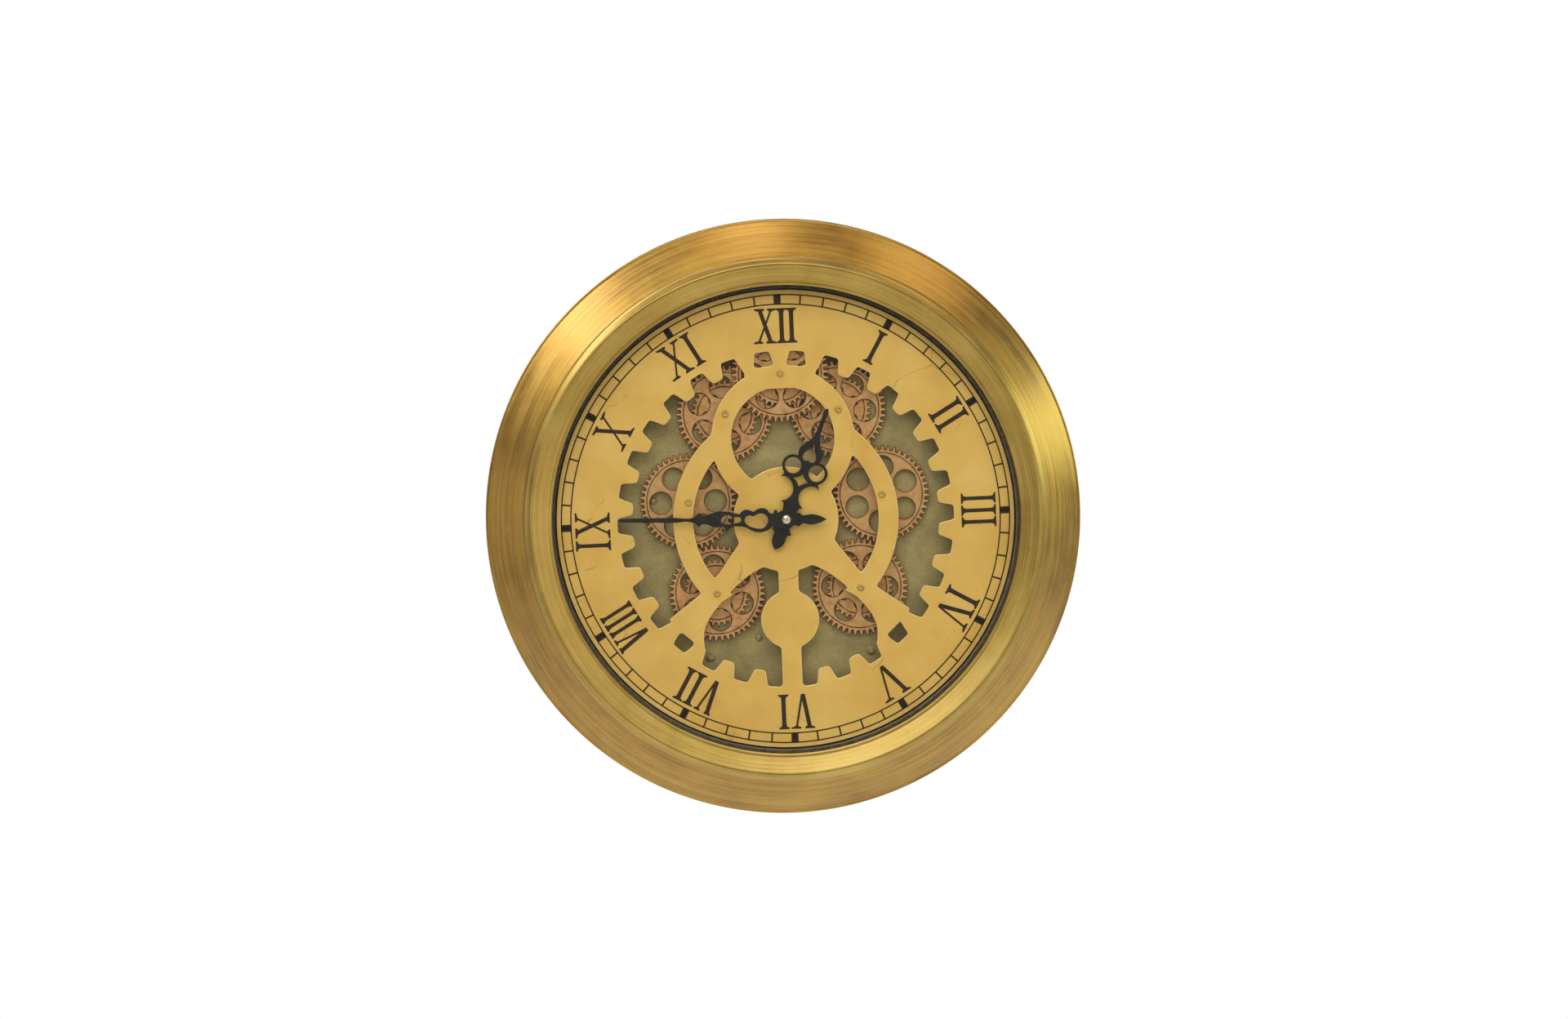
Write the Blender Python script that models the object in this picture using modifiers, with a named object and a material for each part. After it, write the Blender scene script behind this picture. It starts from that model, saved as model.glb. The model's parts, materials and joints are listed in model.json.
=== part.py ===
"""Ship's deck clock: a spun brass wall clock with a skeleton dial over copper gears.

Every piece is drawn in the face frame (x to the right, y up the dial, z out of the wall), and one
empty turns that frame so that the dial looks along -Y with +Z up and the wall is the plane y = 0.
"""
import math

import bmesh
import bpy
from mathutils import Matrix, Vector

MM = 0.001
TAU = 2 * math.pi

# ---- driving dimensions, millimetres -------------------------------------------------------------
RIM_RADIUS = 152.5          # outer edge of the case, 305 mm across
LIP_HEIGHT = 34.2           # where the cone of the case turns in under the bezel
CREST_RADIUS = 127.8        # highest line of the bezel
CREST_HEIGHT = 43.0
SIGHT_RADIUS = 117.5        # inner edge of the bezel, where the glass shows
CASE_MOUTH = 147.3          # the opening of the case that the back cover closes
COVER_RADIUS = CASE_MOUTH - 0.7
COVER_THICK = 1.6
SCREW_CIRCLE = 142.0
DIAL_RADIUS = 115.6
DIAL_BACK, DIAL_FRONT = 26.8, 28.0
BACKPLATE_RADIUS = 112.0
BACKPLATE_BACK, BACKPLATE_FRONT = 17.7, 18.9
CLEAR = 0.3                 # gap between touching pieces

GEAR_TEETH = 48
GEAR_TIP, GEAR_ROOT = 24.6, 22.4
GEAR_MESH = 48.3            # centre distance of two gears in mesh
GEAR_HOLE_CIRCLE, GEAR_HOLE = 13.8, 5.6
REAR_TEETH = 34
REAR_TIP, REAR_ROOT = 17.2, 15.4
SIDE_GEAR = (48.9, 10.5)
UPPER_GEAR_BEARING = 114.9  # direction from the right side gear to the right upper gear, degrees
LOWER_GEAR_BEARING = 254.8
TOP_GEAR = (0.0, 73.6)
GEAR_LAYER = (20.6, 21.8)
REAR_LAYER = (19.2, 20.2)
TOP_GEAR_LAYER = (24.1, 25.3)
TOP_REAR_LAYER = (22.5, 23.5)
ARBOR_RADIUS = 1.5

WINDOW_GAPS = 30            # tooth gaps round the dial's window
WINDOW_ROOT, WINDOW_END = 77.2, 85.0
GAP_ROOT_WIDTH, GAP_END_WIDTH = 10.3, 7.3
HUB_RADIUS = 26.5
UPPER_RING_Y, UPPER_RING_IN, UPPER_RING_OUT = 40.85, 26.0, 36.1
CROWN_TOP, CROWN_HALF = 77.5, 14        # the sheet left between the upper ring and the rim, in mm and degrees
BIG_RING_IN, BIG_RING_OUT = 46.8, 56.9
STEM_HALF = 5.0
BOSS_Y, BOSS_RADIUS = -50.8, 14.7

HOUR_LEVEL, MINUTE_LEVEL = (30.0, 30.8), (31.8, 32.6)
HOUR_ANGLE, MINUTE_ANGLE = 22.8, 272.0     # clockwise from twelve: a quarter to one
HOUR_TUBE_RADIUS, MINUTE_SHAFT_RADIUS = 2.4, 1.3

MOVEMENT_HALF = 28.0
MOVEMENT_WALL = 1.2
MOVEMENT_BACK, MOVEMENT_FRONT = 5.8, 17.4
TRAIN_CLEAR = 0.3
PILLARS = ((40.8, -69.0), (-40.8, -69.0), (62.0, 62.0), (-62.0, 62.0))
ROUND_STEPS = 48


# ---- tools ---------------------------------------------------------------------------------------
def clear_scene():
    for thing in list(bpy.data.objects):
        bpy.data.objects.remove(thing, do_unlink=True)


def new_collection(name):
    group = bpy.data.collections.new(name)
    bpy.context.scene.collection.children.link(group)
    return group


def material(name, colour, roughness, metallic):
    mat = bpy.data.materials.get(name)
    if mat:
        return mat
    mat = bpy.data.materials.new(name)
    mat.use_nodes = True
    shader = mat.node_tree.nodes["Principled BSDF"]
    shader.inputs["Base Color"].default_value = (*colour, 1.0)
    shader.inputs["Roughness"].default_value = roughness
    shader.inputs["Metallic"].default_value = metallic
    mat.diffuse_color = (*colour, 1.0)
    return mat


BRASS = ("brass", (0.60, 0.41, 0.13), 0.32, 1.0)
DIAL_BRASS = ("dial_brass", (0.70, 0.48, 0.12), 0.5, 0.6)
COPPER = ("copper", (0.58, 0.30, 0.14), 0.4, 1.0)
OLIVE = ("olive_plate", (0.23, 0.22, 0.09), 0.6, 0.3)
STEEL = ("steel", (0.55, 0.55, 0.53), 0.35, 1.0)
BLACK = ("black_hands", (0.012, 0.011, 0.010), 0.45, 0.2)
RUBBER = ("rubber", (0.02, 0.02, 0.018), 0.7, 0.0)
GLASS = ("glass", (0.85, 0.92, 0.90), 0.03, 0.0)
PLASTIC = ("plastic", (0.03, 0.03, 0.03), 0.5, 0.0)
WHEEL_PLASTIC = ("wheel_plastic", (0.75, 0.74, 0.70), 0.4, 0.0)
BOARD = ("circuit_board", (0.05, 0.16, 0.07), 0.5, 0.0)
CELL = ("battery", (0.25, 0.25, 0.27), 0.3, 0.8)


def finish(thing, finish_name, frame, group, place=(0, 0), turn=0.0):
    """Gives a piece its material, its place on the face frame and its turn about its own axis."""
    thing.data.materials.append(material(*finish_name))
    group.objects.link(thing)
    thing.parent = frame
    thing.location = (place[0] * MM, place[1] * MM, thing.location.z)
    thing.rotation_euler = (0, 0, turn)
    return thing


def turned(name, profile, steps=ROUND_STEPS):
    """A profile of (radius, height) points swept round z; a ring's profile is a closed loop."""
    ring = min(radius for radius, height in profile) > 0
    mesh = bpy.data.meshes.new(name)
    points = [(radius * MM, 0, height * MM) for radius, height in profile]
    edges = [(i, i + 1) for i in range(len(points) - 1)]
    if ring:
        edges.append((len(points) - 1, 0))
    mesh.from_pydata(points, edges, [])
    thing = bpy.data.objects.new(name, mesh)
    screw = thing.modifiers.new("Turn", "SCREW")
    screw.steps = steps
    screw.render_steps = steps
    screw.use_merge_vertices = True
    screw.merge_threshold = 0.00001
    return thing


def outline(name, loops, low, high):
    """A flat piece from a closed outline and the outlines of its holes."""
    curve = bpy.data.curves.new(name, "CURVE")
    curve.dimensions = "2D"
    curve.fill_mode = "BOTH"
    curve.extrude = (high - low) / 2 * MM
    for loop in loops:
        spline = curve.splines.new("POLY")
        spline.points.add(len(loop) - 1)
        for point, (x, y) in zip(spline.points, loop):
            point.co = (x * MM, y * MM, 0, 1)
        spline.use_cyclic_u = True
    thing = bpy.data.objects.new(name, curve)
    thing.location.z = (low + high) / 2 * MM
    return thing


def solid(thing):
    """The finished mesh of a curve or turned piece, with its height in its points, ready to cut."""
    scene = bpy.context.scene.collection
    scene.objects.link(thing)
    bpy.context.view_layer.update()
    graph = bpy.context.evaluated_depsgraph_get()
    mesh = bpy.data.meshes.new_from_object(thing.evaluated_get(graph))
    mesh.transform(thing.matrix_world)
    shape = bmesh.new()
    shape.from_mesh(mesh)
    bmesh.ops.remove_doubles(shape, verts=shape.verts, dist=0.000001)
    bmesh.ops.recalc_face_normals(shape, faces=shape.faces)
    shape.to_mesh(mesh)
    shape.free()
    name = thing.name
    bpy.data.objects.remove(thing, do_unlink=True)
    return bpy.data.objects.new(name, mesh)


def box(name, centre, size):
    shape = bmesh.new()
    place = Matrix.Translation(Vector(centre) * MM) @ Matrix.Diagonal((*(Vector(size) * MM), 1))
    bmesh.ops.create_cube(shape, size=1.0, matrix=place)
    mesh = bpy.data.meshes.new(name)
    shape.to_mesh(mesh)
    shape.free()
    return bpy.data.objects.new(name, mesh)


def rod(name, radius, low, high, place=(0, 0), sides=16, top_radius=None):
    """A cylinder, or a cone where top_radius is given, standing on the face frame."""
    shape = bmesh.new()
    middle = Matrix.Translation(Vector((place[0], place[1], (low + high) / 2)) * MM)
    middle = middle @ Matrix.Rotation(math.pi / sides, 4, "Z")
    end = radius if top_radius is None else top_radius
    bmesh.ops.create_cone(shape, cap_ends=True, segments=sides, radius1=radius * MM, radius2=end * MM,
                          depth=(high - low) * MM, matrix=middle)
    mesh = bpy.data.meshes.new(name)
    shape.to_mesh(mesh)
    shape.free()
    return bpy.data.objects.new(name, mesh)


def combine(thing, others, operation, cutters):
    """Cuts or joins pieces one after another with exact Booleans."""
    for other in others:
        cutters.objects.link(other)
        other.parent = thing
        other.hide_render = True
        other.display_type = "WIRE"
        step = thing.modifiers.new(operation.title(), "BOOLEAN")
        step.operation = operation
        step.solver = "EXACT"
        step.object = other
    return thing


def settled(thing):
    """A piece with its Booleans worked out, so that it can itself be used as a cutter."""
    scene = bpy.context.scene.collection
    scene.objects.link(thing)
    bpy.context.view_layer.update()
    graph = bpy.context.evaluated_depsgraph_get()
    mesh = bpy.data.meshes.new_from_object(thing.evaluated_get(graph))
    name = thing.name
    bpy.data.objects.remove(thing, do_unlink=True)
    return bpy.data.objects.new(name, mesh)


def circle(radius, place=(0, 0), sides=24, start=0.0):
    angles = (start + TAU * i / sides for i in range(sides))
    return [(place[0] + radius * math.cos(a), place[1] + radius * math.sin(a)) for a in angles]


def arc(radius, place, first, last, sides):
    angles = (math.radians(first + (last - first) * i / sides) for i in range(sides + 1))
    return [(place[0] + radius * math.cos(a), place[1] + radius * math.sin(a)) for a in angles]


def mirrored(half):
    """A closed outline from its right half, listed from the top point to the bottom point."""
    return half + [(-x, y) for x, y in reversed(half) if x > 0.001]


def toothed(teeth, root, tip, phase=0.0):
    """Pointed teeth: one point at each tip and one at each root; phase is a tip's angle."""
    loop = []
    for i in range(teeth):
        angle = phase + TAU * i / teeth
        half = TAU / teeth / 2
        loop.append((tip * math.cos(angle), tip * math.sin(angle)))
        loop.append((root * math.cos(angle + half), root * math.sin(angle + half)))
    return loop


# ---- case ----------------------------------------------------------------------------------------
def make_case(frame, parts, cutters):
    lip = (124.0, LIP_HEIGHT - 1.2)
    shell = turned("case_shell", [
        (lip[0], LIP_HEIGHT), (131.9, LIP_HEIGHT), (151.0, 3.4), (152.2, 2.6), (RIM_RADIUS, 1.4),
        (152.1, 0.3), (151.0, 0.0), (CASE_MOUTH, 0.0), (CASE_MOUTH, 1.9),
        (137.0, 1.9), (137.0, 3.2), (149.2, 3.2), (130.8, lip[1]), lip])
    holes = [rod(f"lip_hole_{i}", 1.7, 1.0, 4.0, place, 12) for i, place in enumerate(screw_places())]
    finish(combine(solid(shell), holes, "DIFFERENCE", cutters), BRASS, frame, parts)

    bezel = turned("bezel", [
        (CREST_RADIUS + 0.7, CREST_HEIGHT - 0.1), (130.9, 39.8), (131.6, 38.4), (131.6, 34.6),
        (123.4, 34.6), (123.4, 25.0), (122.2, 25.0), (122.2, 37.5), (SIGHT_RADIUS, 37.5),
        (SIGHT_RADIUS, 38.6), (118.2, 39.2), (119.3, 39.1), (CREST_RADIUS - 0.6, CREST_HEIGHT - 0.1),
        (CREST_RADIUS, CREST_HEIGHT)])
    finish(bezel, BRASS, frame, parts)
    pane = turned("glass", [(0, 37.2), (121.6, 37.2), (121.6, 35.2), (0, 35.2)])
    finish(pane, GLASS, frame, parts)
    finish(turned("glass_gasket", ring(115.6, 121.6, 33.8, 34.9)), RUBBER, frame, parts)
    finish(turned("glass_retaining_ring", ring(119.0, 121.8, 32.2, 33.5)), BRASS, frame, parts)
    finish(turned("dial_drum", ring(116.4, 117.8, COVER_THICK + CLEAR, 32.9)), STEEL, frame, parts)


def ring(inner, outer, low, high):
    return [(outer, high), (outer, low), (inner, low), (inner, high)]


def screw_places():
    angles = (math.radians(45 + 90 * i) for i in range(4))
    return [(SCREW_CIRCLE * math.cos(a), SCREW_CIRCLE * math.sin(a)) for a in angles]


def keyhole(low, high):
    """A round hole for a screw head with a narrow slot above it, as one cutter."""
    head = arc(5.0, (0, 94.0), 114, 426, 14)
    neck = arc(2.2, (0, 103.0), 0, 180, 6)
    return solid(outline("keyhole", [head + neck], low, high))


def make_back(frame, parts, cutters):
    cover = rod("back_cover", COVER_RADIUS, 0, COVER_THICK, sides=ROUND_STEPS)
    sinks = [rod(f"screw_sink_{i}", 3.45, -0.1, COVER_THICK + 0.1, place, 12, 1.55)
             for i, place in enumerate(screw_places())]
    combine(cover, sinks + [keyhole(-1, 3)], "DIFFERENCE", cutters)
    finish(cover, STEEL, frame, parts)
    plate = box("hanger_plate", (0, 97, 2.5), (44, 28, 1.2))
    finish(combine(plate, [keyhole(1, 4)], "DIFFERENCE", cutters), STEEL, frame, parts)
    screw = [(0, 6.0), (1.3, 6.0), (1.3, 1.5), (2.95, 0.1), (0, 0.1)]
    for number, place in enumerate(screw_places(), 1):
        finish(turned(f"cover_screw_{number}", screw, 12), STEEL, frame, parts, place)


# ---- plates --------------------------------------------------------------------------------------
def gear_places():
    """Each gear's centre: the upper and lower gears stand one mesh distance from the side gear."""
    places = {"top": TOP_GEAR}
    for side, sign in (("left", -1), ("right", 1)):
        places[f"{side}_side"] = (sign * SIDE_GEAR[0], SIDE_GEAR[1])
        for name, bearing in (("upper", UPPER_GEAR_BEARING), ("lower", LOWER_GEAR_BEARING)):
            angle = math.radians(bearing)
            x = SIDE_GEAR[0] + GEAR_MESH * math.cos(angle)
            y = SIDE_GEAR[1] + GEAR_MESH * math.sin(angle)
            places[f"{side}_{name}"] = (sign * x, y)
    return places


def make_backplate(frame, parts):
    loops = [circle(BACKPLATE_RADIUS, sides=ROUND_STEPS), circle(4.4, sides=16)]
    loops += [circle(ARBOR_RADIUS, place, 8) for place in gear_places().values()]
    loops += [circle(2.0, place, 8) for place in PILLARS]
    finish(outline("backplate", loops, BACKPLATE_BACK, BACKPLATE_FRONT), OLIVE, frame, parts)
    pillar = [(0, 20.2), (1.4, 20.0), (2.4, 19.2), (1.6, 19.2), (1.6, 17.4), (3.5, 17.4),
              (3.5, COVER_THICK + CLEAR), (0, COVER_THICK + CLEAR)]
    for number, place in enumerate(PILLARS, 1):
        finish(turned(f"backplate_pillar_{number}", pillar, 10), BRASS, frame, parts, place)
    arbor = [(0, 29.0), (1.2, 28.85), (1.9, 28.3), (1.1, 28.3), (1.1, 26.5), (ARBOR_RADIUS, 26.5),
             (ARBOR_RADIUS, 19.2), (1.2, 19.2), (1.2, 17.2), (0, 17.2)]
    for name, place in gear_places().items():
        finish(turned(f"arbor_{name}", arbor, 8), STEEL, frame, parts, place)


def window_loop():
    """The edge of the dial's window: an inside-out gear whose gaps narrow outwards."""
    loop = []
    for i in range(WINDOW_GAPS):
        middle = math.radians(90 + 6 - 12 * i)
        root = GAP_ROOT_WIDTH / 2 / WINDOW_ROOT
        end = GAP_END_WIDTH / 2 / WINDOW_END
        for radius, angle in ((WINDOW_ROOT, root), (WINDOW_END - 1.0, end + 0.004), (WINDOW_END, end - 0.012),
                              (WINDOW_END, 0.012 - end), (WINDOW_END - 1.0, -end - 0.004), (WINDOW_ROOT, -root)):
            loop.append((radius * math.cos(middle + angle), radius * math.sin(middle + angle)))
    return loop


def leg_loop(sign):
    """One of the two legs that run from the hub, across the big ring, down to the rim."""
    right = [(0, 0), (24.2, -11.5), (36.8, -28.9), (44.4, -36.0), (66.5, -52.0), (77.0, -59.6),
             (57.0, -77.5), (43.4, -68.0), (43.7, -63.8), (44.0, -56.6), (42.3, -51.2), (39.1, -46.2),
             (34.3, -40.6), (27.3, -33.3), (19.0, -26.9), (12.2, -23.5)]
    return [(sign * x, y) for x, y in right]


def make_dial(frame, parts, cutters):
    window = solid(outline("window", [window_loop()], DIAL_BACK - 3, DIAL_FRONT + 3))
    low, high = DIAL_BACK - 5, DIAL_FRONT + 5
    ring_band = solid(outline("big_ring", [circle(BIG_RING_OUT, sides=72), circle(BIG_RING_IN, sides=60)],
                              low, high))
    opening = rod("upper_opening", UPPER_RING_IN, low - 1, high + 1, (0, UPPER_RING_Y), 48)
    below = solid(outline("below_legs", [[(0, -20), (70, -62), (70, -90), (-70, -90), (-70, -62)]],
                          low - 2, high + 2))
    ring_band = settled(combine(ring_band, [opening, below], "DIFFERENCE", cutters))
    upper = [circle(UPPER_RING_OUT, (0, UPPER_RING_Y), 60), circle(UPPER_RING_IN, (0, UPPER_RING_Y), 48)]
    # the legs cross the gaps at 138 degrees only as far in as the window's root circle
    tooth_gaps = solid(outline("beyond_root", [circle(110, sides=60), circle(WINDOW_ROOT + 0.4, sides=60)],
                               low - 3, high + 3))
    legs = [settled(combine(solid(outline(f"leg_{sign}", [leg_loop(sign)], low, high)), [part], "DIFFERENCE",
                            cutters))
            for sign, part in ((1, tooth_gaps), (-1, tooth_gaps.copy()))]
    crown = arc(CROWN_TOP, (0, 0), 90 - CROWN_HALF, 90 + CROWN_HALF, 14) + [(-14, 66), (14, 66)]
    bars = [ring_band, solid(outline("upper_ring", upper, low, high)), *legs,
            solid(outline("crown", [crown], low + 1.5, high + 1.5)),
            rod("hub", HUB_RADIUS, low + 1, high + 1, sides=60),
            rod("boss", BOSS_RADIUS, low + 0.5, high + 0.5, (0, BOSS_Y), 40),
            box("stem", (0, -50, DIAL_FRONT), (2 * STEM_HALF, 100, 30))]
    window = settled(combine(window, bars, "DIFFERENCE", cutters))
    dial = rod("dial_plate", DIAL_RADIUS, DIAL_BACK, DIAL_FRONT, sides=72)
    holes = [rod("centre_hole", 4.4, low, high, sides=16)]
    holes += [rod(f"arbor_hole_{name}", 1.4, low, high, place, 10) for name, place in gear_places().items()]
    finish(combine(dial, [window] + holes, "DIFFERENCE", cutters), DIAL_BRASS, frame, parts)


# ---- gears ---------------------------------------------------------------------------------------
def gear_turns(places):
    """Turns each gear so that its teeth stand in the gaps of the gear it meshes with."""
    pitch = TAU / GEAR_TEETH
    turns = {"top": 0.0}
    for side in ("left", "right"):
        middle = places[f"{side}_side"]
        turns[f"{side}_side"] = 0.0 if side == "left" else pitch / 2
        for name in ("upper", "lower"):
            place = places[f"{side}_{name}"]
            bearing = math.atan2(place[1] - middle[1], place[0] - middle[0])
            lead = (turns[f"{side}_side"] - bearing) % pitch
            turns[f"{side}_{name}"] = bearing + math.pi - lead + pitch / 2
    return turns


def make_gears(frame, parts):
    places = gear_places()
    turns = gear_turns(places)
    for name, place in places.items():
        layer = TOP_GEAR_LAYER if name == "top" else GEAR_LAYER
        holes = [circle(GEAR_HOLE, (GEAR_HOLE_CIRCLE * math.cos(TAU * i / 6),
                                    GEAR_HOLE_CIRCLE * math.sin(TAU * i / 6)), 10) for i in range(6)]
        bore = circle(ARBOR_RADIUS + CLEAR + 0.1, sides=10)
        loops = [toothed(GEAR_TEETH, GEAR_ROOT, GEAR_TIP), bore] + holes
        finish(outline(f"gear_{name}", loops, *layer), COPPER, frame, parts, place, turns[name])
        if name.endswith("side"):
            continue
        layer = TOP_REAR_LAYER if name == "top" else REAR_LAYER
        loops = [toothed(REAR_TEETH, REAR_ROOT, REAR_TIP), bore]
        finish(outline(f"rear_gear_{name}", loops, *layer), COPPER, frame, parts, place, turns[name])


# ---- hands ---------------------------------------------------------------------------------------
def make_hands(frame, parts):
    hour = mirrored([(0, 59.4), (1.0, 59.0), (1.7, 45.3), (2.3, 41.4), (5.0, 38.3), (6.1, 36.0), (5.6, 32.4),
                     (9.0, 31.8), (11.6, 28.8), (11.6, 24.8), (9.3, 22.0), (10.3, 19.4), (8.2, 20.6), (4.9, 20.2),
                     (2.5, 18.1), (1.7, 14.8), (2.9, 10.9), (5.8, 8.4), (3.9, 7.8), (3.2, 4.2), (4.7, 1.0),
                     (4.3, -2.1), (2.9, -3.9), (5.2, -6.8), (3.3, -8.1), (3.4, -10.4), (0, -16.4)])
    openings = [circle(4.1, (x, 26.7), 12) for x in (-6.2, 6.2)]
    openings.append(mirrored([(0, 40.4), (2.1, 36.6), (3.5, 32.6), (1.2, 31.3), (0, 31.9)]))
    openings.append([(0, 24.2), (3.8, 20.8), (0, 17.9), (-3.8, 20.8)])
    openings.append(circle(HOUR_TUBE_RADIUS + CLEAR, sides=12))
    hand = outline("hour_hand", [hour] + openings, *HOUR_LEVEL)
    finish(hand, BLACK, frame, parts, turn=-math.radians(HOUR_ANGLE))

    right = [(0, 84.4), (0.7, 83.8), (1.3, 57.7), (1.6, 46.2), (3.7, 44.0), (2.1, 42.0), (3.3, 37.5),
             (4.3, 33.8), (3.5, 25.5), (2.7, 23.5), (4.1, 22.2), (5.1, 20.2), (4.1, 16.6), (5.7, 13.4),
             (5.4, 10.3), (3.1, 8.0), (3.0, 6.5), (4.9, 6.1), (4.9, 4.9), (3.3, 4.3), (4.5, 0),
             (2.5, -3.9), (3.3, -6.6), (2.1, -8.0), (2.6, -12.8), (0, -20.4)]
    left = [(-2.6, -12.8), (-1.9, -8.0), (-3.3, -6.6), (-2.5, -3.9), (-4.5, 0), (-3.3, 4.3), (-4.9, 4.9),
            (-4.9, 6.1), (-3.1, 6.6), (-4.5, 8.2), (-6.2, 11.1), (-6.4, 14.0), (-5.4, 17.7), (-3.5, 21.4),
            (-3.7, 27.2), (-6.2, 29.7), (-3.9, 30.9), (-3.5, 36.3), (-2.1, 42.0), (-3.7, 44.0),
            (-1.6, 46.2), (-1.3, 57.7), (-0.7, 83.8)]
    loop = [(2.7, 11.1), (3.0, 13.8), (1.7, 16.6), (2.0, 19.2), (0, 21.2), (-2.2, 20.2), (-4.4, 15.4),
            (-4.1, 11.5), (-1.2, 9.3), (1.0, 9.3)]
    diamond = [(2.4, 29.0), (0.6, 33.0), (-1.2, 33.0), (-2.6, 29.8), (-1.8, 27.4), (1.6, 27.4)]
    openings = [loop, diamond, circle(MINUTE_SHAFT_RADIUS + CLEAR, sides=12)]
    hand = outline("minute_hand", [right + left] + openings, *MINUTE_LEVEL)
    finish(hand, BLACK, frame, parts, turn=-math.radians(MINUTE_ANGLE))
    cap = [(0, 34.5), (1.3, 34.3), (2.1, 33.8), (2.4, 33.1), (0, 33.1)]
    finish(turned("hand_cap", cap, 16), STEEL, frame, parts)


# ---- quartz movement -----------------------------------------------------------------------------
def beside(place, bearing, distance):
    angle = math.radians(bearing)
    return (place[0] + distance * math.cos(angle), place[1] + distance * math.sin(angle))


def wheel(name, teeth, radius, layer, arbors, cutters):
    """A toothed wheel joined to the pinions and pivots on its own arbor: (radius, low, high) each."""
    body = solid(outline(name, [toothed(teeth, radius - 0.7, radius)], *layer))
    rods = [rod(f"{name}_arbor_{i}", *size, sides=10) for i, size in enumerate(arbors)]
    return combine(body, rods, "UNION", cutters)


def make_train(frame, parts, cutters):
    """Two trains: rotor to third wheel below, and the motion work that carries the hands."""
    minute_place = beside((0, 0), 150, 2.5 + 7.5 + TRAIN_CLEAR)
    knob_place = beside(minute_place, 150, 7.5 + 2.5 + TRAIN_CLEAR)
    third_place = beside((0, 0), 35, 10.2 + 1.6 + TRAIN_CLEAR)
    fourth_place = beside(third_place, 100, 6.5 + 1.5 + TRAIN_CLEAR)
    middle_place = beside(fourth_place, 170, 6.0 + 1.4 + TRAIN_CLEAR)
    rotor_place = beside(middle_place, 180, 5.0 + 1.0 + TRAIN_CLEAR)
    wheels = (
        ("centre_wheel", 30, 10.2, (10.0, 10.8), [(2.5, 10.4, 13.9), (MINUTE_SHAFT_RADIUS, 9.4, 32.9)], (0, 0)),
        ("minute_wheel", 20, 7.5, (12.8, 13.6), [(2.3, 13.2, 15.6), (0.8, 12.0, 16.2)], minute_place),
        ("third_wheel", 20, 6.5, (8.4, 9.2), [(1.6, 8.8, 11.2), (0.7, 7.4, 12.4)], third_place),
        ("fourth_wheel", 20, 6.0, (6.8, 7.6), [(1.5, 7.2, 9.5), (0.7, 6.0, 10.0)], fourth_place),
        ("intermediate_wheel", 18, 5.0, (8.3, 9.1), [(1.4, 6.6, 8.7), (0.7, 6.0, 9.8)], middle_place),
    )
    for name, teeth, radius, layer, arbors, place in wheels:
        finish(wheel(name, teeth, radius, layer, arbors, cutters), WHEEL_PLASTIC, frame, parts, place)
    hour = wheel("hour_wheel", 22, 7.7, (14.4, 15.2), [(HOUR_TUBE_RADIUS, 14.8, 31.1)], cutters)
    combine(hour, [rod("hour_bore", MINUTE_SHAFT_RADIUS + CLEAR, 14.0, 32.0, sides=12)], "DIFFERENCE", cutters)
    finish(hour, WHEEL_PLASTIC, frame, parts)
    rotor = [(0, 12.6), (0.7, 12.6), (0.7, 12.0), (3.0, 12.0), (3.0, 9.6), (1.0, 9.6), (1.0, 7.8),
             (0.6, 7.8), (0.6, 7.0), (0, 7.0)]
    finish(turned("rotor", rotor, 12), STEEL, frame, parts, rotor_place)
    knob = [(0, 13.8), (2.5, 13.8), (2.5, 12.6), (1.2, 12.6), (1.2, 4.2), (5.0, 4.2), (5.0, 2.5), (0, 2.5)]
    finish(turned("set_knob", knob, 16), WHEEL_PLASTIC, frame, parts, knob_place)
    plate = box("stator", (5, 16.4, 10.7), (34, 7.4, 1.0))
    hole = rod("rotor_hole", 3.4, 9, 12, rotor_place, 12)
    finish(combine(plate, [hole], "DIFFERENCE", cutters), STEEL, frame, parts)
    return knob_place


def lengthways(name, radius, half_length, place, height, sides=16):
    """A cylinder lying along x."""
    shape = bmesh.new()
    turn = Matrix.Translation(Vector((place[0], place[1], height)) * MM) @ Matrix.Rotation(math.pi / 2, 4, "Y")
    bmesh.ops.create_cone(shape, cap_ends=True, segments=sides, radius1=radius * MM, radius2=radius * MM,
                          depth=2 * half_length * MM, matrix=turn)
    mesh = bpy.data.meshes.new(name)
    shape.to_mesh(mesh)
    shape.free()
    return bpy.data.objects.new(name, mesh)


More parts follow.
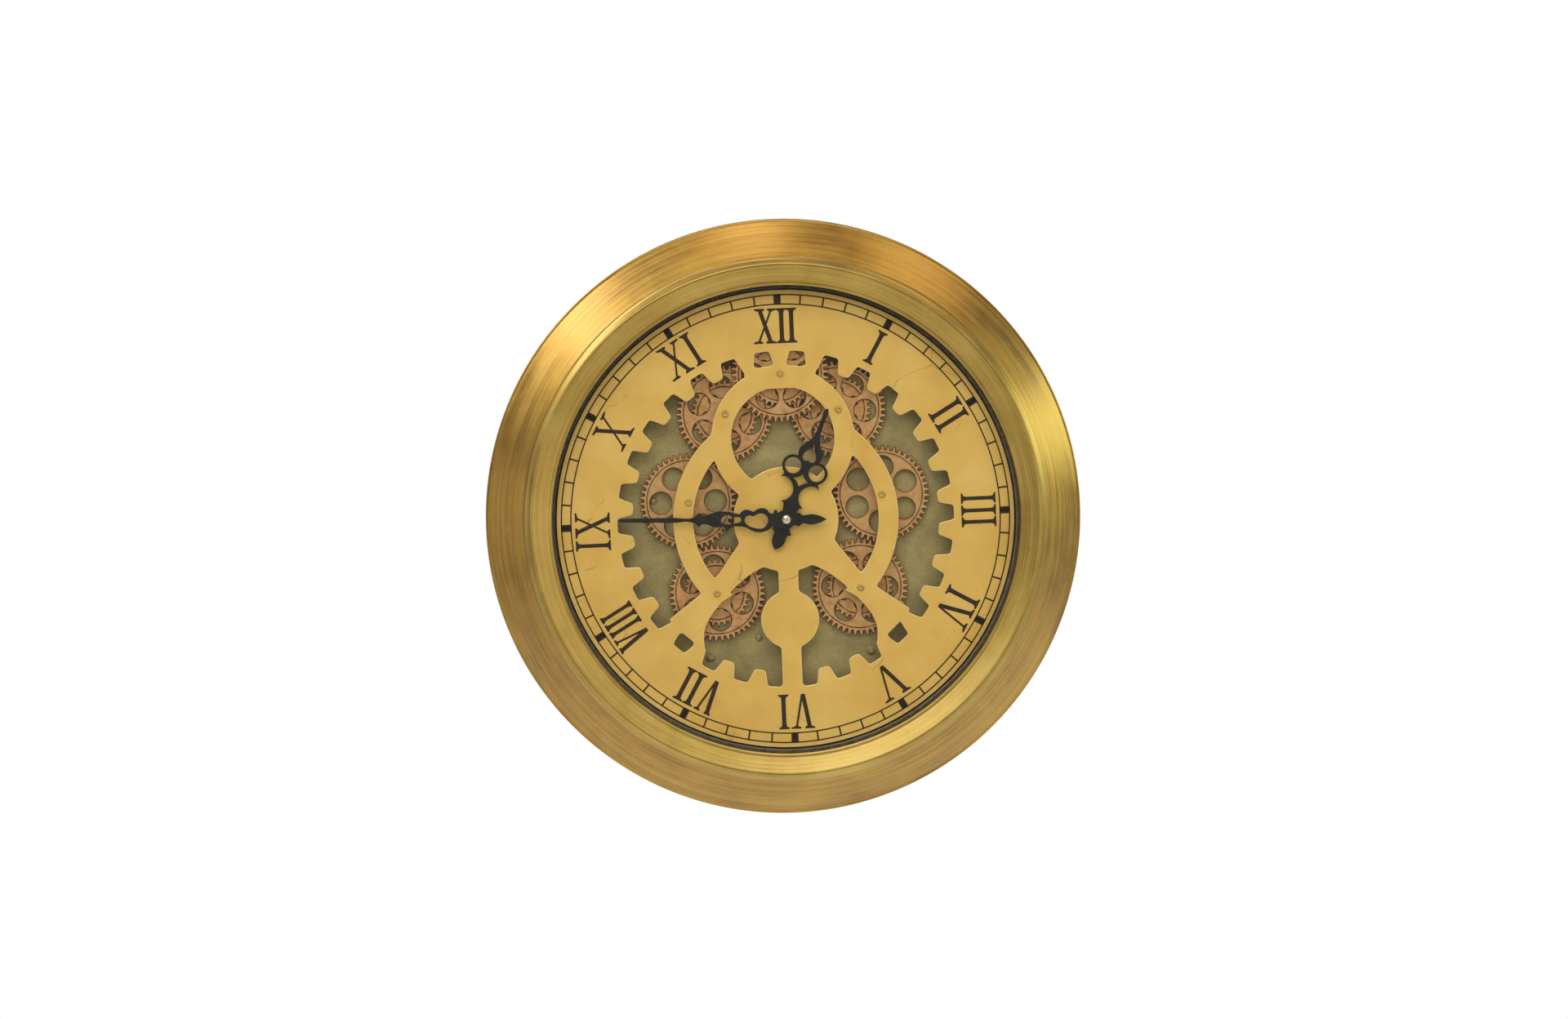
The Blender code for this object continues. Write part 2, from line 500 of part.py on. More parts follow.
def make_movement(frame, parts, cutters):
    knob_place = make_train(frame, parts, cutters)
    inner = 2 * (MOVEMENT_HALF - MOVEMENT_WALL)
    depth = MOVEMENT_FRONT - MOVEMENT_BACK
    middle = (MOVEMENT_FRONT + MOVEMENT_BACK) / 2
    case = box("movement_case", (0, 0, middle), (2 * MOVEMENT_HALF, 2 * MOVEMENT_HALF, depth))
    combine(case, [box("movement_room", (0, 0, middle - 0.8 - 1), (inner, inner, depth + 2))],
            "DIFFERENCE", cutters)
    combine(case, [rod("bushing", 4.0, MOVEMENT_FRONT - 0.4, 22.4)], "UNION", cutters)
    combine(case, [rod("bushing_bore", 2.8, 15.0, 24.0)], "DIFFERENCE", cutters)
    finish(case, PLASTIC, frame, parts)
    cover = box("movement_cover", (0, 0, 5.0), (2 * MOVEMENT_HALF, 2 * MOVEMENT_HALF, 1.0))
    bay = box("battery_bay", (0, -18.6, 5.0), (52.4, 15.4, 4.0))
    combine(cover, [bay, rod("knob_hole", 1.6, 3, 7, knob_place, 12)], "DIFFERENCE", cutters)
    finish(cover, PLASTIC, frame, parts)
    nut = [circle(7.6, sides=6), circle(4.3, sides=16)]
    finish(outline("bushing_nut", nut, 19.2, 21.4), BRASS, frame, parts)
    finish(lengthways("battery", 7.15, 24.9, (0, -18.6), 9.1, 20), CELL, frame, parts)
    finish(box("contact_positive", (25.7, -18.6, 9.1), (0.6, 9, 8)), STEEL, frame, parts)
    finish(box("contact_negative", (-25.7, -18.6, 9.1), (0.6, 9, 8)), STEEL, frame, parts)
    finish(lengthways("coil", 2.4, 12.5, (5, 24.1), 9.5, 14), COPPER, frame, parts)
    finish(box("circuit_board", (19.2, -5.2, 6.4), (12.6, 8.6, 1.0)), BOARD, frame, parts)


def main():
    clear_scene()
    parts = new_collection("ships_deck_clock")
    cutters = new_collection("cutters")
    frame = bpy.data.objects.new("face_frame", None)
    frame.rotation_euler = (math.pi / 2, 0, 0)
    parts.objects.link(frame)
    make_case(frame, parts, cutters)
    make_back(frame, parts, cutters)
    make_backplate(frame, parts)
    make_dial(frame, parts, cutters)
    make_gears(frame, parts)
    make_hands(frame, parts)
    make_movement(frame, parts, cutters)
    for thing in parts.objects:
        if thing.name in ("battery", "coil"):
            thing.data.shade_smooth()
            thing.data.set_sharp_from_angle(angle=math.radians(35))


main()
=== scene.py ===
# %% [markdown]
# # A ship's deck clock
# A spun brass case hangs on a bulkhead and holds a gold dial that is pierced like a gear wheel. Copper
# gears turn behind the openings, and a pressed olive plate closes the view. The measured model gives every
# piece its place; this lesson makes the fine surfaces and the finishes around it.

# %% Load the measured model
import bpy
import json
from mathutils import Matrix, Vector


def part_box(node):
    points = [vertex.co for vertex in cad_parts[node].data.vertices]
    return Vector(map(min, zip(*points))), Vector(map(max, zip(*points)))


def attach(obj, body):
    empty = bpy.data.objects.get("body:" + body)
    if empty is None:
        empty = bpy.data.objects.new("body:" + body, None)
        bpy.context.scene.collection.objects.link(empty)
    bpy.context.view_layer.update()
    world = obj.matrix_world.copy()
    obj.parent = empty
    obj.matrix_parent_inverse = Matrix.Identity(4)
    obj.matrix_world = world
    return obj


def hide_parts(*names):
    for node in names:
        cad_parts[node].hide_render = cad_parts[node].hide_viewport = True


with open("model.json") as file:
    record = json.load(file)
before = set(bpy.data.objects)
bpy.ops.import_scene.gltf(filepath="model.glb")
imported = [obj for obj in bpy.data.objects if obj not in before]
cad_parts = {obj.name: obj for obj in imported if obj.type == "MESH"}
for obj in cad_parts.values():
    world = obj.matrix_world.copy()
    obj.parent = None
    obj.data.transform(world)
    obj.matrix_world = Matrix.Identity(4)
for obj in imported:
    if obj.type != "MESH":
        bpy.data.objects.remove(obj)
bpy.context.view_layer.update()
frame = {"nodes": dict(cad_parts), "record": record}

import json
import math

import bmesh
import bpy
from mathutils import Matrix, Vector

print("nodes in the measured model:", len(frame["nodes"]))

# %% [markdown]
# ## Working on the face
# A clockmaker draws on the face: x to the right, y towards twelve, and depth out of the wall. All shapes
# here are drawn like that in millimetres, and one matrix lays them on the wall when they are done. Sizes
# are read from the measured model, so a piece always fits the one that it stands for.

# %% Face coordinates and sizes
MM = 0.001
TAU = 2 * math.pi
FACE = Matrix.Rotation(math.pi / 2, 4, "X") @ Matrix.Scale(MM, 4)
BODY = {name: body for body, names in frame["record"]["behaviour"]["bodies"].items() for name in names}


def span(name):
    """Lowest and highest corner of a node in face millimetres."""
    low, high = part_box(name)
    return Vector((low[0], low[2], -high[1])) / MM, Vector((high[0], high[2], -low[1])) / MM


def middle(name):
    """The middle of a node on the face, as (x, y)."""
    low, high = span(name)
    return (low.x + high.x) / 2, (low.y + high.y) / 2


def radius(name):
    """Half the width of a round node."""
    low, high = span(name)
    return (high.x - low.x) / 2


def levels(name):
    """The depths of a node's back and front."""
    low, high = span(name)
    return low.z, high.z


print("case radius", round(radius("case_shell"), 2), "dial at", [round(v, 2) for v in levels("dial_plate")])

# %% [markdown]
# ## Shaping tools
# A round piece is turned: its profile is spun about the clock's axis. A flat piece is pierced: its outline
# and its openings are one flat curve, which Blender fills and gives a thickness and a rounded edge. The
# rounded edge matters more than it seems, because it is the thin line of light that says metal.

# %% Turning and piercing
WELD = 0.0005               # mm; points closer than this become one
SHARP_EDGE = math.radians(30)


def rounded(corners, steps=4):
    """Swaps each corner that has a third value for an arc of about that radius."""
    points = []
    for i, corner in enumerate(corners):
        here = Vector(corner[:2])
        if len(corner) == 2:
            points.append(tuple(here))
            continue
        before = Vector(corners[i - 1][:2]) - here
        after = Vector(corners[(i + 1) % len(corners)][:2]) - here
        reach = min(corner[2], before.length * 0.45, after.length * 0.45)
        first, last = here + before.normalized() * reach, here + after.normalized() * reach
        for step in range(steps + 1):
            t = step / steps
            points.append(tuple(first * (1 - t) ** 2 + here * 2 * t * (1 - t) + last * t * t))
    return points


def smooth(mesh):
    """Shades a mesh smooth, though not across its sharp edges."""
    mesh.shade_smooth()
    mesh.set_sharp_from_angle(angle=SHARP_EDGE)


def turned(name, profile, steps=256, centre=(0, 0)):
    """Spins a profile of (radius, depth) corners; a profile that starts and ends at 0 makes a solid."""
    shape = bmesh.new()
    corners = [shape.verts.new((r, 0, depth)) for r, depth in rounded(profile)]
    edges = [shape.edges.new(pair) for pair in zip(corners, corners[1:])]
    if profile[0][0] > 0:
        edges.append(shape.edges.new((corners[-1], corners[0])))
    bmesh.ops.spin(shape, geom=corners + edges, axis=(0, 0, 1), cent=(0, 0, 0), angle=TAU, steps=steps)
    bmesh.ops.remove_doubles(shape, verts=shape.verts, dist=WELD)
    bmesh.ops.recalc_face_normals(shape, faces=shape.faces)
    bmesh.ops.translate(shape, verts=shape.verts, vec=(*centre, 0))
    mesh = bpy.data.meshes.new(name)
    shape.to_mesh(mesh)
    shape.free()
    smooth(mesh)
    return bpy.data.objects.new(name, mesh)


def plain_mesh(thing):
    """The evaluated shape of an object as an object of its own, with its seams welded."""
    bpy.context.scene.collection.objects.link(thing)
    bpy.context.view_layer.update()
    mesh = bpy.data.meshes.new_from_object(thing.evaluated_get(bpy.context.evaluated_depsgraph_get()))
    shape = bmesh.new()
    shape.from_mesh(mesh)
    bmesh.ops.remove_doubles(shape, verts=shape.verts, dist=WELD)
    bmesh.ops.recalc_face_normals(shape, faces=shape.faces)
    shape.to_mesh(mesh)
    shape.free()
    name = thing.name
    bpy.data.objects.remove(thing, do_unlink=True)
    smooth(mesh)
    return bpy.data.objects.new(name, mesh)


class Flowing(list):
    """An outline drawn with a flowing curve; a point with a third value is a sharp corner."""


def pierced(name, loops, back, front, edge=0.0):
    """A flat piece from its outline and openings, between two depths, with a rounded edge."""
    curve = bpy.data.curves.new(name, "CURVE")
    curve.dimensions = "2D"
    curve.fill_mode = "BOTH"
    curve.extrude = (front - back) / 2 - edge
    curve.bevel_depth = edge
    curve.bevel_resolution = 2
    curve.offset = -edge
    curve.resolution_u = 6
    for loop in loops:
        if isinstance(loop, Flowing):
            spline = curve.splines.new("BEZIER")
            spline.bezier_points.add(len(loop) - 1)
            for point, place in zip(spline.bezier_points, loop):
                point.co = (place[0], place[1], 0)
                point.handle_left_type = point.handle_right_type = "VECTOR" if len(place) == 3 else "AUTO"
        else:
            spline = curve.splines.new("POLY")
            spline.points.add(len(loop) - 1)
            for point, place in zip(spline.points, loop):
                point.co = (place[0], place[1], 0, 1)
        spline.use_cyclic_u = True
    thing = plain_mesh(bpy.data.objects.new(name, curve))
    thing.data.transform(Matrix.Translation((0, 0, (back + front) / 2)))
    return thing


def arc(size, degrees, place=(0, 0)):
    """Points at the given angles, in degrees anticlockwise from three o'clock."""
    angles = [math.radians(a) for a in degrees]
    return [(place[0] + size * math.cos(a), place[1] + size * math.sin(a)) for a in angles]


def circle(size, place=(0, 0), sides=96):
    """A closed circle of points."""
    angles = (TAU * i / sides for i in range(sides))
    return [(place[0] + size * math.cos(a), place[1] + size * math.sin(a)) for a in angles]


def cut(thing, cutter):
    """Cuts one closed shape with another and gives the result back as a plain mesh."""
    bpy.context.scene.collection.objects.link(cutter)
    step = thing.modifiers.new("Cut", "BOOLEAN")
    step.operation = "DIFFERENCE"
    step.object = cutter
    result = plain_mesh(thing)
    bpy.data.objects.remove(cutter, do_unlink=True)
    return result


def joined(name, things):
    """One piece from several closed shapes."""
    shape = bmesh.new()
    for thing in things:
        shape.from_mesh(thing.data)
        bpy.data.objects.remove(thing, do_unlink=True)
    mesh = bpy.data.meshes.new(name)
    shape.to_mesh(mesh)
    shape.free()
    smooth(mesh)
    return bpy.data.objects.new(name, mesh)


# %% [markdown]
# ## Handing a piece in
# A finished shape is laid on the wall, painted, and told which body of the clock carries it. The nodes that
# it stands for are hidden, though they keep working in the simulation.

# %% Placing a finished piece
LEVEL = 0.9999              # a face whose normal points this much along the depth is level
SLOPES = 0.1, 0.99          # and between these it belongs to a rounded front edge


def hand_in(piece, material, slot, *stands_for, rides_with=None, painted_edge_light=None):
    """Places a piece on the body of the nodes that it stands for, or of the node that it rides with."""
    bpy.context.scene.collection.objects.link(piece)
    piece.data.materials.clear()
    piece.data.materials.append(material)
    # the sloping faces of a rounded edge get the second material, which is a painted highlight on the dial
    # and a painted shade on the gears
    if painted_edge_light:
        piece.data.materials.append(painted_edge_light)
        for face in piece.data.polygons:
            face.material_index = int(SLOPES[0] < face.normal.z < SLOPES[1])
    for face in piece.data.polygons:
        # a level face is shaded flat, so that the rounding at its edge doesn't spread over all of it
        if abs(face.normal.z) > LEVEL:
            face.use_smooth = False
    piece.data.transform(FACE)
    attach(piece, BODY[rides_with or stands_for[0]])
    if stands_for:
        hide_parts(*stands_for)
    print(f"{piece.name}: {len(piece.data.polygons)} faces")


# %% [markdown]
# ## A light tent and a camera
# Polished brass shows its surroundings more than its own colour. So the clock hangs in a soft white room
# with broad panels: one lights the dial from the front, and those beside and a little behind the wall line
# are there for the sloping rim, which mirrors what is behind its own edge. Warm and cool tints on the side
# panels give the rim its change from orange to greenish yellow.

# %% Camera
VIEW_DISTANCE = 1.70
VIEW_TURN, VIEW_RISE, VIEW_ROLL = math.radians(-2.1), math.radians(2.4), math.radians(-2.35)
FRAME_WIDTH = 0.8042        # metres of wall across the picture
AIM = Vector((0.0002, 0.0, 0.0037))

lens = bpy.data.cameras.new("deck_camera")
lens.sensor_width = 36.0
lens.lens = lens.sensor_width * VIEW_DISTANCE / FRAME_WIDTH
camera = bpy.data.objects.new("deck_camera", lens)
bpy.context.scene.collection.objects.link(camera)
away = Vector((math.sin(VIEW_TURN) * math.cos(VIEW_RISE), -math.cos(VIEW_TURN) * math.cos(VIEW_RISE),
               math.sin(VIEW_RISE)))
camera.location = AIM + away * VIEW_DISTANCE
camera.rotation_euler = ((-away).to_track_quat("-Z", "Y").to_matrix()
                         @ Matrix.Rotation(VIEW_ROLL, 3, "Z")).to_euler()
bpy.context.scene.camera = camera
bpy.context.scene.view_settings.view_transform = "Standard"
print("camera lens", round(lens.lens, 1), "mm")


# %% Materials' first tools
def linear(code):
    """An sRGB hex colour as the linear colour that a shader wants."""
    parts = [int(code[i:i + 2], 16) / 255 for i in (0, 2, 4)]
    return tuple(v / 12.92 if v <= 0.04045 else ((v + 0.055) / 1.055) ** 2.4 for v in parts) + (1.0,)


def node(tree, kind, inputs=None, stops=None, **settings):
    """Adds a node: its own settings, then its inputs as values or as links, then a ramp's colours."""
    made = tree.nodes.new(kind)
    for name, value in settings.items():
        setattr(made, name, value)
    for key, value in (inputs or {}).items():
        if isinstance(value, bpy.types.NodeSocket):
            tree.links.new(value, made.inputs[key])
        else:
            made.inputs[key].default_value = value
    for place, (position, code) in enumerate(stops or ()):
        elements = made.color_ramp.elements
        element = elements[place] if place < 2 else elements.new(position)
        element.position = position
        element.color = linear(code)
    return made


def start(name, centre=(0, 0), roughness=0.5, metallic=0.0, **sockets):
    """A new material: its tree, its shader, and face millimetres about a centre."""
    material = bpy.data.materials.new(name)
    material.use_nodes = True
    tree = material.node_tree
    shader = tree.nodes["Principled BSDF"]
    shader.inputs["Roughness"].default_value = roughness
    shader.inputs["Metallic"].default_value = metallic
    for socket, value in sockets.items():
        shader.inputs[socket.replace("_", " ")].default_value = value
    where = node(tree, "ShaderNodeTexCoord")
    face = node(tree, "ShaderNodeMapping", {
        "Vector": where.outputs["Object"], "Scale": (1 / MM,) * 3, "Rotation": (-math.pi / 2, 0, 0),
        "Location": (-centre[0], -centre[1], 0)})
    return material, tree, shader, face.outputs[0]


# %% A finish from one noise
def dressed(tree, shader, value, stops, rough=None, skin=None):
    """One value sets the tone and the gloss; skin is a height, its strength and its depth in metres."""
    tone = node(tree, "ShaderNodeValToRGB", {0: value}, stops=stops)
    tree.links.new(tone.outputs[0], shader.inputs["Base Color"])
    if rough:
        dull = node(tree, "ShaderNodeMapRange", {0: value, 1: 0.3, 2: 0.7, 3: rough[0], 4: rough[1]})
        tree.links.new(dull.outputs[0], shader.inputs["Roughness"])
    if skin:
        height, strength, depth = skin
        bump = node(tree, "ShaderNodeBump", {"Strength": strength, "Distance": depth, "Height": height})
        tree.links.new(bump.outputs[0], shader.inputs["Normal"])


def speckled(name, shades, scale, rough, metallic=0.0, bump=0.3, depth=0.0001):
    """A finish whose tone, gloss and skin all follow one noise of a given size."""
    material, tree, shader, place = start(name, metallic=metallic)
    grain = node(tree, "ShaderNodeTexNoise", {"Vector": place, "Scale": scale, "Detail": 6.0,
                                              "Roughness": 0.7}).outputs[0]
    dressed(tree, shader, grain, ((0.3, shades[0]), (0.7, shades[1])), rough, (grain, bump, depth))
    return material


# %% Panels of light
def panel(name, place, size, watts, code):
    """A rectangular panel that looks at the clock's middle; place is in metres in the room."""
    light = bpy.data.lights.new(name, "AREA")
    light.shape = "RECTANGLE"
    light.size, light.size_y = size
    light.energy = watts
    light.color = linear(code)[:3]
    thing = bpy.data.objects.new(name, light)
    thing.location = place
    thing.rotation_euler = (-Vector(place)).to_track_quat("-Z", "Y").to_euler()
    thing.visible_camera = False
    bpy.context.scene.collection.objects.link(thing)


RIM_REACH = 1.5             # metres from the clock's middle to the panels that light its rim


def beside(clock_hour, behind):
    """A place beside the clock in the direction of an hour on its dial, some way behind the wall line."""
    angle = math.radians(90 - 30 * clock_hour)
    return (RIM_REACH * math.cos(angle), behind, RIM_REACH * math.sin(angle))


panel("front_soft_box", (-0.6, -1.9, 1.6), (1.9, 1.9), 20, "FFFFFF")
panel("ceiling", (0.0, -1.2, 3.2), (3.2, 3.2), 36, "FFFFFF")
panel("front_fill", (1.5, -1.8, 0.5), (1.2, 1.6), 6, "FFF6E8")
panel("rim_half_past_ten", beside(10.55, 0.6), (1.5, 0.35), 8.0, "FFFAE8")
panel("rim_noon", beside(11.9, 0.7), (0.35, 0.5), 1.7, "FFE8B4")
panel("rim_one", beside(1.1, 0.6), (0.6, 0.4), 1.4, "FADFA4")
panel("rim_half_past_two", beside(2.5, 0.6), (1.4, 0.4), 5.0, "ECF6BC")
panel("rim_nine", beside(9.1, 0.6), (0.5, 0.4), 0.4, "FFF0C8")

# %% Room and floor
room = bpy.data.worlds.new("pale_room")
room.use_nodes = True
bpy.context.scene.world = room
room.node_tree.nodes.clear()
ROOM_GREY = "98938A"        # what the metal and the dial see of the room
ray = node(room.node_tree, "ShaderNodeLightPath")
backdrop = node(room.node_tree, "ShaderNodeBackground", {"Color": linear("FFFFFF"), "Strength": 1.0})
walls = node(room.node_tree, "ShaderNodeBackground", {"Color": linear(ROOM_GREY), "Strength": 0.9})
seen = node(room.node_tree, "ShaderNodeMixShader", {
    0: ray.outputs["Is Camera Ray"], 1: walls.outputs[0], 2: backdrop.outputs[0]})
node(room.node_tree, "ShaderNodeOutputWorld", {"Surface": seen.outputs[0]})

FLOOR_LEVEL, FLOOR_HALF, FLOOR_FRONT, FLOOR_BACK = -0.46, 2.2, -1.6, 0.8      # metres
floor_mesh = bpy.data.meshes.new("floor")
floor_mesh.from_pydata([(-FLOOR_HALF, FLOOR_FRONT, FLOOR_LEVEL), (FLOOR_HALF, FLOOR_FRONT, FLOOR_LEVEL),
                        (FLOOR_HALF, FLOOR_BACK, FLOOR_LEVEL), (-FLOOR_HALF, FLOOR_BACK, FLOOR_LEVEL)],
                       [], [(0, 1, 2, 3)])
floor = bpy.data.objects.new("floor", floor_mesh)
bpy.context.scene.collection.objects.link(floor)
paint, tree, shader, place = start("floor_paint", roughness=0.8)
grain = node(tree, "ShaderNodeTexNoise", {"Vector": place, "Scale": 0.02, "Detail": 3.0})
dressed(tree, shader, grain.outputs[0], ((0.3, "F5F4F2"), (0.7, "F7F6F4")))
floor_mesh.materials.append(paint)
print("panels and floor set")

# %% [markdown]
# ## Brass that was spun and brushed
# The case and its bezel are brass sheet pressed over a spinning lathe and brushed while they turned, then
# lacquered. Each bristle leaves a line round the axis, so light is stretched across the lines and makes
# bright fans. The lines could be modelled, but there are thousands, so they are noise that is stretched
# round the axis: it sets tone, roughness and a fine bump, and the shader's anisotropy makes the fans.

# %% Spun brass
TOOL_STEP = 1.1             # mm, half the distance between two ridges
LATHE_LINE = 0.8            # mm between the brush lines that show; finer ones come from the noise's detail
LINE_BREAKS = (1.6, 1.6, 0) # how often a line fades out on its way round


def around(tree, place):
    """How far out a point is, and a vector for noise that runs round the axis in long arcs."""
    parts = node(tree, "ShaderNodeSeparateXYZ", {0: place})
    flat = node(tree, "ShaderNodeVectorMath", {0: place, 1: (1, 1, 0)}, operation="MULTIPLY")
    out = node(tree, "ShaderNodeVectorMath", {0: flat.outputs[0]}, operation="LENGTH").outputs["Value"]
    way = node(tree, "ShaderNodeVectorMath", {0: flat.outputs[0]}, operation="NORMALIZE")
    across = node(tree, "ShaderNodeMath", {0: out, 1: parts.outputs[2]}, operation="ADD")
    step = node(tree, "ShaderNodeMath", {0: across.outputs[0], 1: LATHE_LINE}, operation="DIVIDE")
    lift = node(tree, "ShaderNodeCombineXYZ", {2: step.outputs[0]})
    arcs = node(tree, "ShaderNodeVectorMath", {0: way.outputs[0], 1: LINE_BREAKS, 2: lift.outputs[0]},
                operation="MULTIPLY_ADD")
    return out, arcs.outputs[0]


def brushed_round(tree, shader):
    """Points the shader's tangent along the brush lines."""
    where = node(tree, "ShaderNodeTexCoord")
    along = node(tree, "ShaderNodeVectorMath", {0: where.outputs["Object"], 1: (0, 1, 0)},
                 operation="CROSS_PRODUCT")
    turn = node(tree, "ShaderNodeVectorTransform", {0: along.outputs[0]}, vector_type="VECTOR",
                convert_from="OBJECT", convert_to="WORLD")
    tree.links.new(turn.outputs[0], shader.inputs["Tangent"])


def spun_brass(name, shades, rough, stretch):
    """Lacquered brass in three shades; stretch is how far its highlights are drawn across the lines."""
    material, tree, shader, place = start(name, metallic=1.0, Anisotropic=stretch, Coat_Weight=0.25,
                                          Coat_Roughness=0.22)
    out, arcs = around(tree, place)
    lines = node(tree, "ShaderNodeTexNoise", {"Vector": arcs, "Scale": 1.0, "Detail": 5.0, "Roughness": 0.7})
    tarnish = node(tree, "ShaderNodeTexNoise", {"Vector": place, "Scale": 0.022, "Detail": 5.0,
                                                "Roughness": 0.62})
    # tarnish drifts in patches a few centimetres wide, and the brush lines break it up
    blend = node(tree, "ShaderNodeMix", {0: 0.55, 2: tarnish.outputs[0], 3: lines.outputs[0]})
    tone = node(tree, "ShaderNodeValToRGB", {0: blend.outputs[0]},
                stops=((0.36, shades[0]), (0.5, shades[1]), (0.64, shades[2])))
    tree.links.new(tone.outputs[0], shader.inputs["Base Color"])
    dull = node(tree, "ShaderNodeMapRange", {0: blend.outputs[0], 1: 0.35, 2: 0.65, 3: rough[0], 4: rough[1]})
    tree.links.new(dull.outputs[0], shader.inputs["Roughness"])
    # under the brush lines lie the shallow ridges that the spinning tool left
    pace = node(tree, "ShaderNodeMath", {0: out, 1: TOOL_STEP}, operation="DIVIDE")
    ridges = node(tree, "ShaderNodeTexNoise", {"W": pace.outputs[0], "Scale": 1.0, "Detail": 2.0},
                  noise_dimensions="1D")
    worked = node(tree, "ShaderNodeBump", {"Strength": 0.5, "Distance": 0.0001, "Height": ridges.outputs[0]})
    grain = node(tree, "ShaderNodeBump", {"Strength": 0.5, "Distance": 0.00012, "Height": lines.outputs[0],
                                          "Normal": worked.outputs[0]})
    tree.links.new(grain.outputs[0], shader.inputs["Normal"])
    brushed_round(tree, shader)
    return material


case_brass = spun_brass("spun_brass_case", ("846426", "B28B3B", "CCA84F"), (0.26, 0.40), 0.75)
bezel_brass = spun_brass("turned_brass_bezel", ("9A7E3E", "BA9C50", "D2B668"), (0.30, 0.44), 0.6)

# %% [markdown]
# ## The case and the bezel
# The case is one deep cone with a rolled rim. The bezel is a heavier ring that drops over the case's lip
# and holds the glass. Both are turned from a profile, with small fillets where a spinning tool would leave
# them: the rolled rim, the crest and the bright bead next to the glass.

# %% Case
rim = radius("case_shell")
case_back, case_front = levels("case_shell")
crest_front = levels("bezel")[1]
mouth = radius("back_cover") + 0.7
case = turned("spun_case", [
    (124.0, case_front, 0.3), (131.9, case_front, 0.8), (151.0, 3.4, 1.2), (rim - 0.3, 2.6, 0.6),
    (rim, 1.4, 0.5), (rim - 0.4, 0.3, 0.3), (151.0, case_back, 0.4), (mouth, case_back, 0.2), (mouth, 1.9),
    (137.0, 1.9, 0.3), (137.0, 3.2, 0.3), (149.2, 3.2, 1.0), (130.8, 33.0, 0.8), (124.0, 33.0, 0.3)])
hand_in(case, case_brass, "brass", "case_shell")

# %% Bezel
bezel = turned("turned_bezel", [
    (128.5, crest_front - 0.1, 0.8), (130.9, 39.8, 1.6), (131.6, 38.4, 0.6), (131.6, 34.6, 0.5),
    (123.4, 34.6), (123.4, 25.0, 0.3), (122.2, 25.0, 0.3), (122.2, 37.5), (117.5, 37.5, 0.2),
    (117.5, 38.6, 0.5), (118.2, 39.2, 0.5), (119.3, 39.1, 0.5), (126.9, 42.8, 1.2),
    (127.8, crest_front, 0.4)])
hand_in(bezel, bezel_brass, "brass", "bezel")

# %% [markdown]
# ## Glass and its fittings
# A flat pane of window glass, two millimetres thick, lies on a rubber ring and is held by a sprung wire
# ring. The pane throws no shadow, because real thin glass hardly dims a dial, and its IOR is a little below
# the 1.5 of window glass, so that less of the pale room lies over the black print.

# %% Glass, gasket, retaining ring and drum
glass_clear, tree, shader, place = start("window_glass", Transmission_Weight=1.0, IOR=1.3,
                                         Base_Color=linear("FCFDFB"))
wipe = node(tree, "ShaderNodeTexNoise", {"Vector": place, "Scale": 0.03, "Detail": 4.0, "Roughness": 0.7})
haze = node(tree, "ShaderNodeMapRange", {0: wipe.outputs[0], 1: 0.4, 2: 0.8, 3: 0.0, 4: 0.008})
tree.links.new(haze.outputs[0], shader.inputs["Roughness"])

glass_back, glass_front = levels("glass")
pane = turned("window_pane", [(0, glass_front), (radius("glass"), glass_front, 0.4),
                              (radius("glass"), glass_back, 0.4), (0, glass_back)], 192)
pane.visible_shadow = False
hand_in(pane, glass_clear, "glass", "glass")

rubber, tree, shader, place = start("moulded_rubber", roughness=0.7)
bloom = node(tree, "ShaderNodeTexNoise", {"Vector": place, "Scale": 0.4, "Detail": 5.0}).outputs[0]
dressed(tree, shader, bloom, ((0.3, "2C2418"), (0.7, "54482E")), skin=(bloom, 0.4, 0.0001))


def ring_profile(inner, outer, low, high, fillet):
    """The profile of a plain ring, for turned."""
    return [(outer, high, fillet), (outer, low, fillet), (inner, low, fillet), (inner, high, fillet)]


gasket = turned("glass_gasket_ring",
                ring_profile(116.2, radius("glass_gasket"), *levels("glass_gasket"), 0.3))
hand_in(gasket, rubber, "rubber", "glass_gasket")
spring = turned("glass_spring_ring",
                ring_profile(119.0, radius("glass_retaining_ring"), *levels("glass_retaining_ring"), 0.5))
hand_in(spring, bezel_brass, "brass", "glass_retaining_ring")

zinc, tree, shader, place = start("zinc_plated_steel", metallic=1.0, roughness=0.4)
spangle = node(tree, "ShaderNodeTexVoronoi", {"Vector": place, "Scale": 0.16, "Randomness": 1.0})
cloud = node(tree, "ShaderNodeTexNoise", {"Vector": place, "Scale": 0.09, "Detail": 6.0, "Roughness": 0.65})
flake = node(tree, "ShaderNodeMix", {0: 0.3, 2: cloud.outputs[0], 3: spangle.outputs["Distance"]})
dressed(tree, shader, flake.outputs[0], ((0.2, "A9A9A8"), (0.8, "C2C2C1")), (0.32, 0.5),
        (cloud.outputs[0], 0.25, 0.0002))
drum = turned("inner_drum", ring_profile(116.4, radius("dial_drum"), *levels("dial_drum"), 0.3))
hand_in(drum, zinc, "steel", "dial_drum")

# %% [markdown]
# ## The dial
# The dial is a brass sheet, pierced and then covered with a warm gold lacquer. Its window is an inside-out
# gear wheel, crossed by a hub, two rings, a stem with a round boss, and two legs. The shape follows a rule,
# so the window is a loop over its thirty gaps. Booleans take the bars out of the window, and what is left
# over are the openings, whose edges become the curves that pierce the sheet.

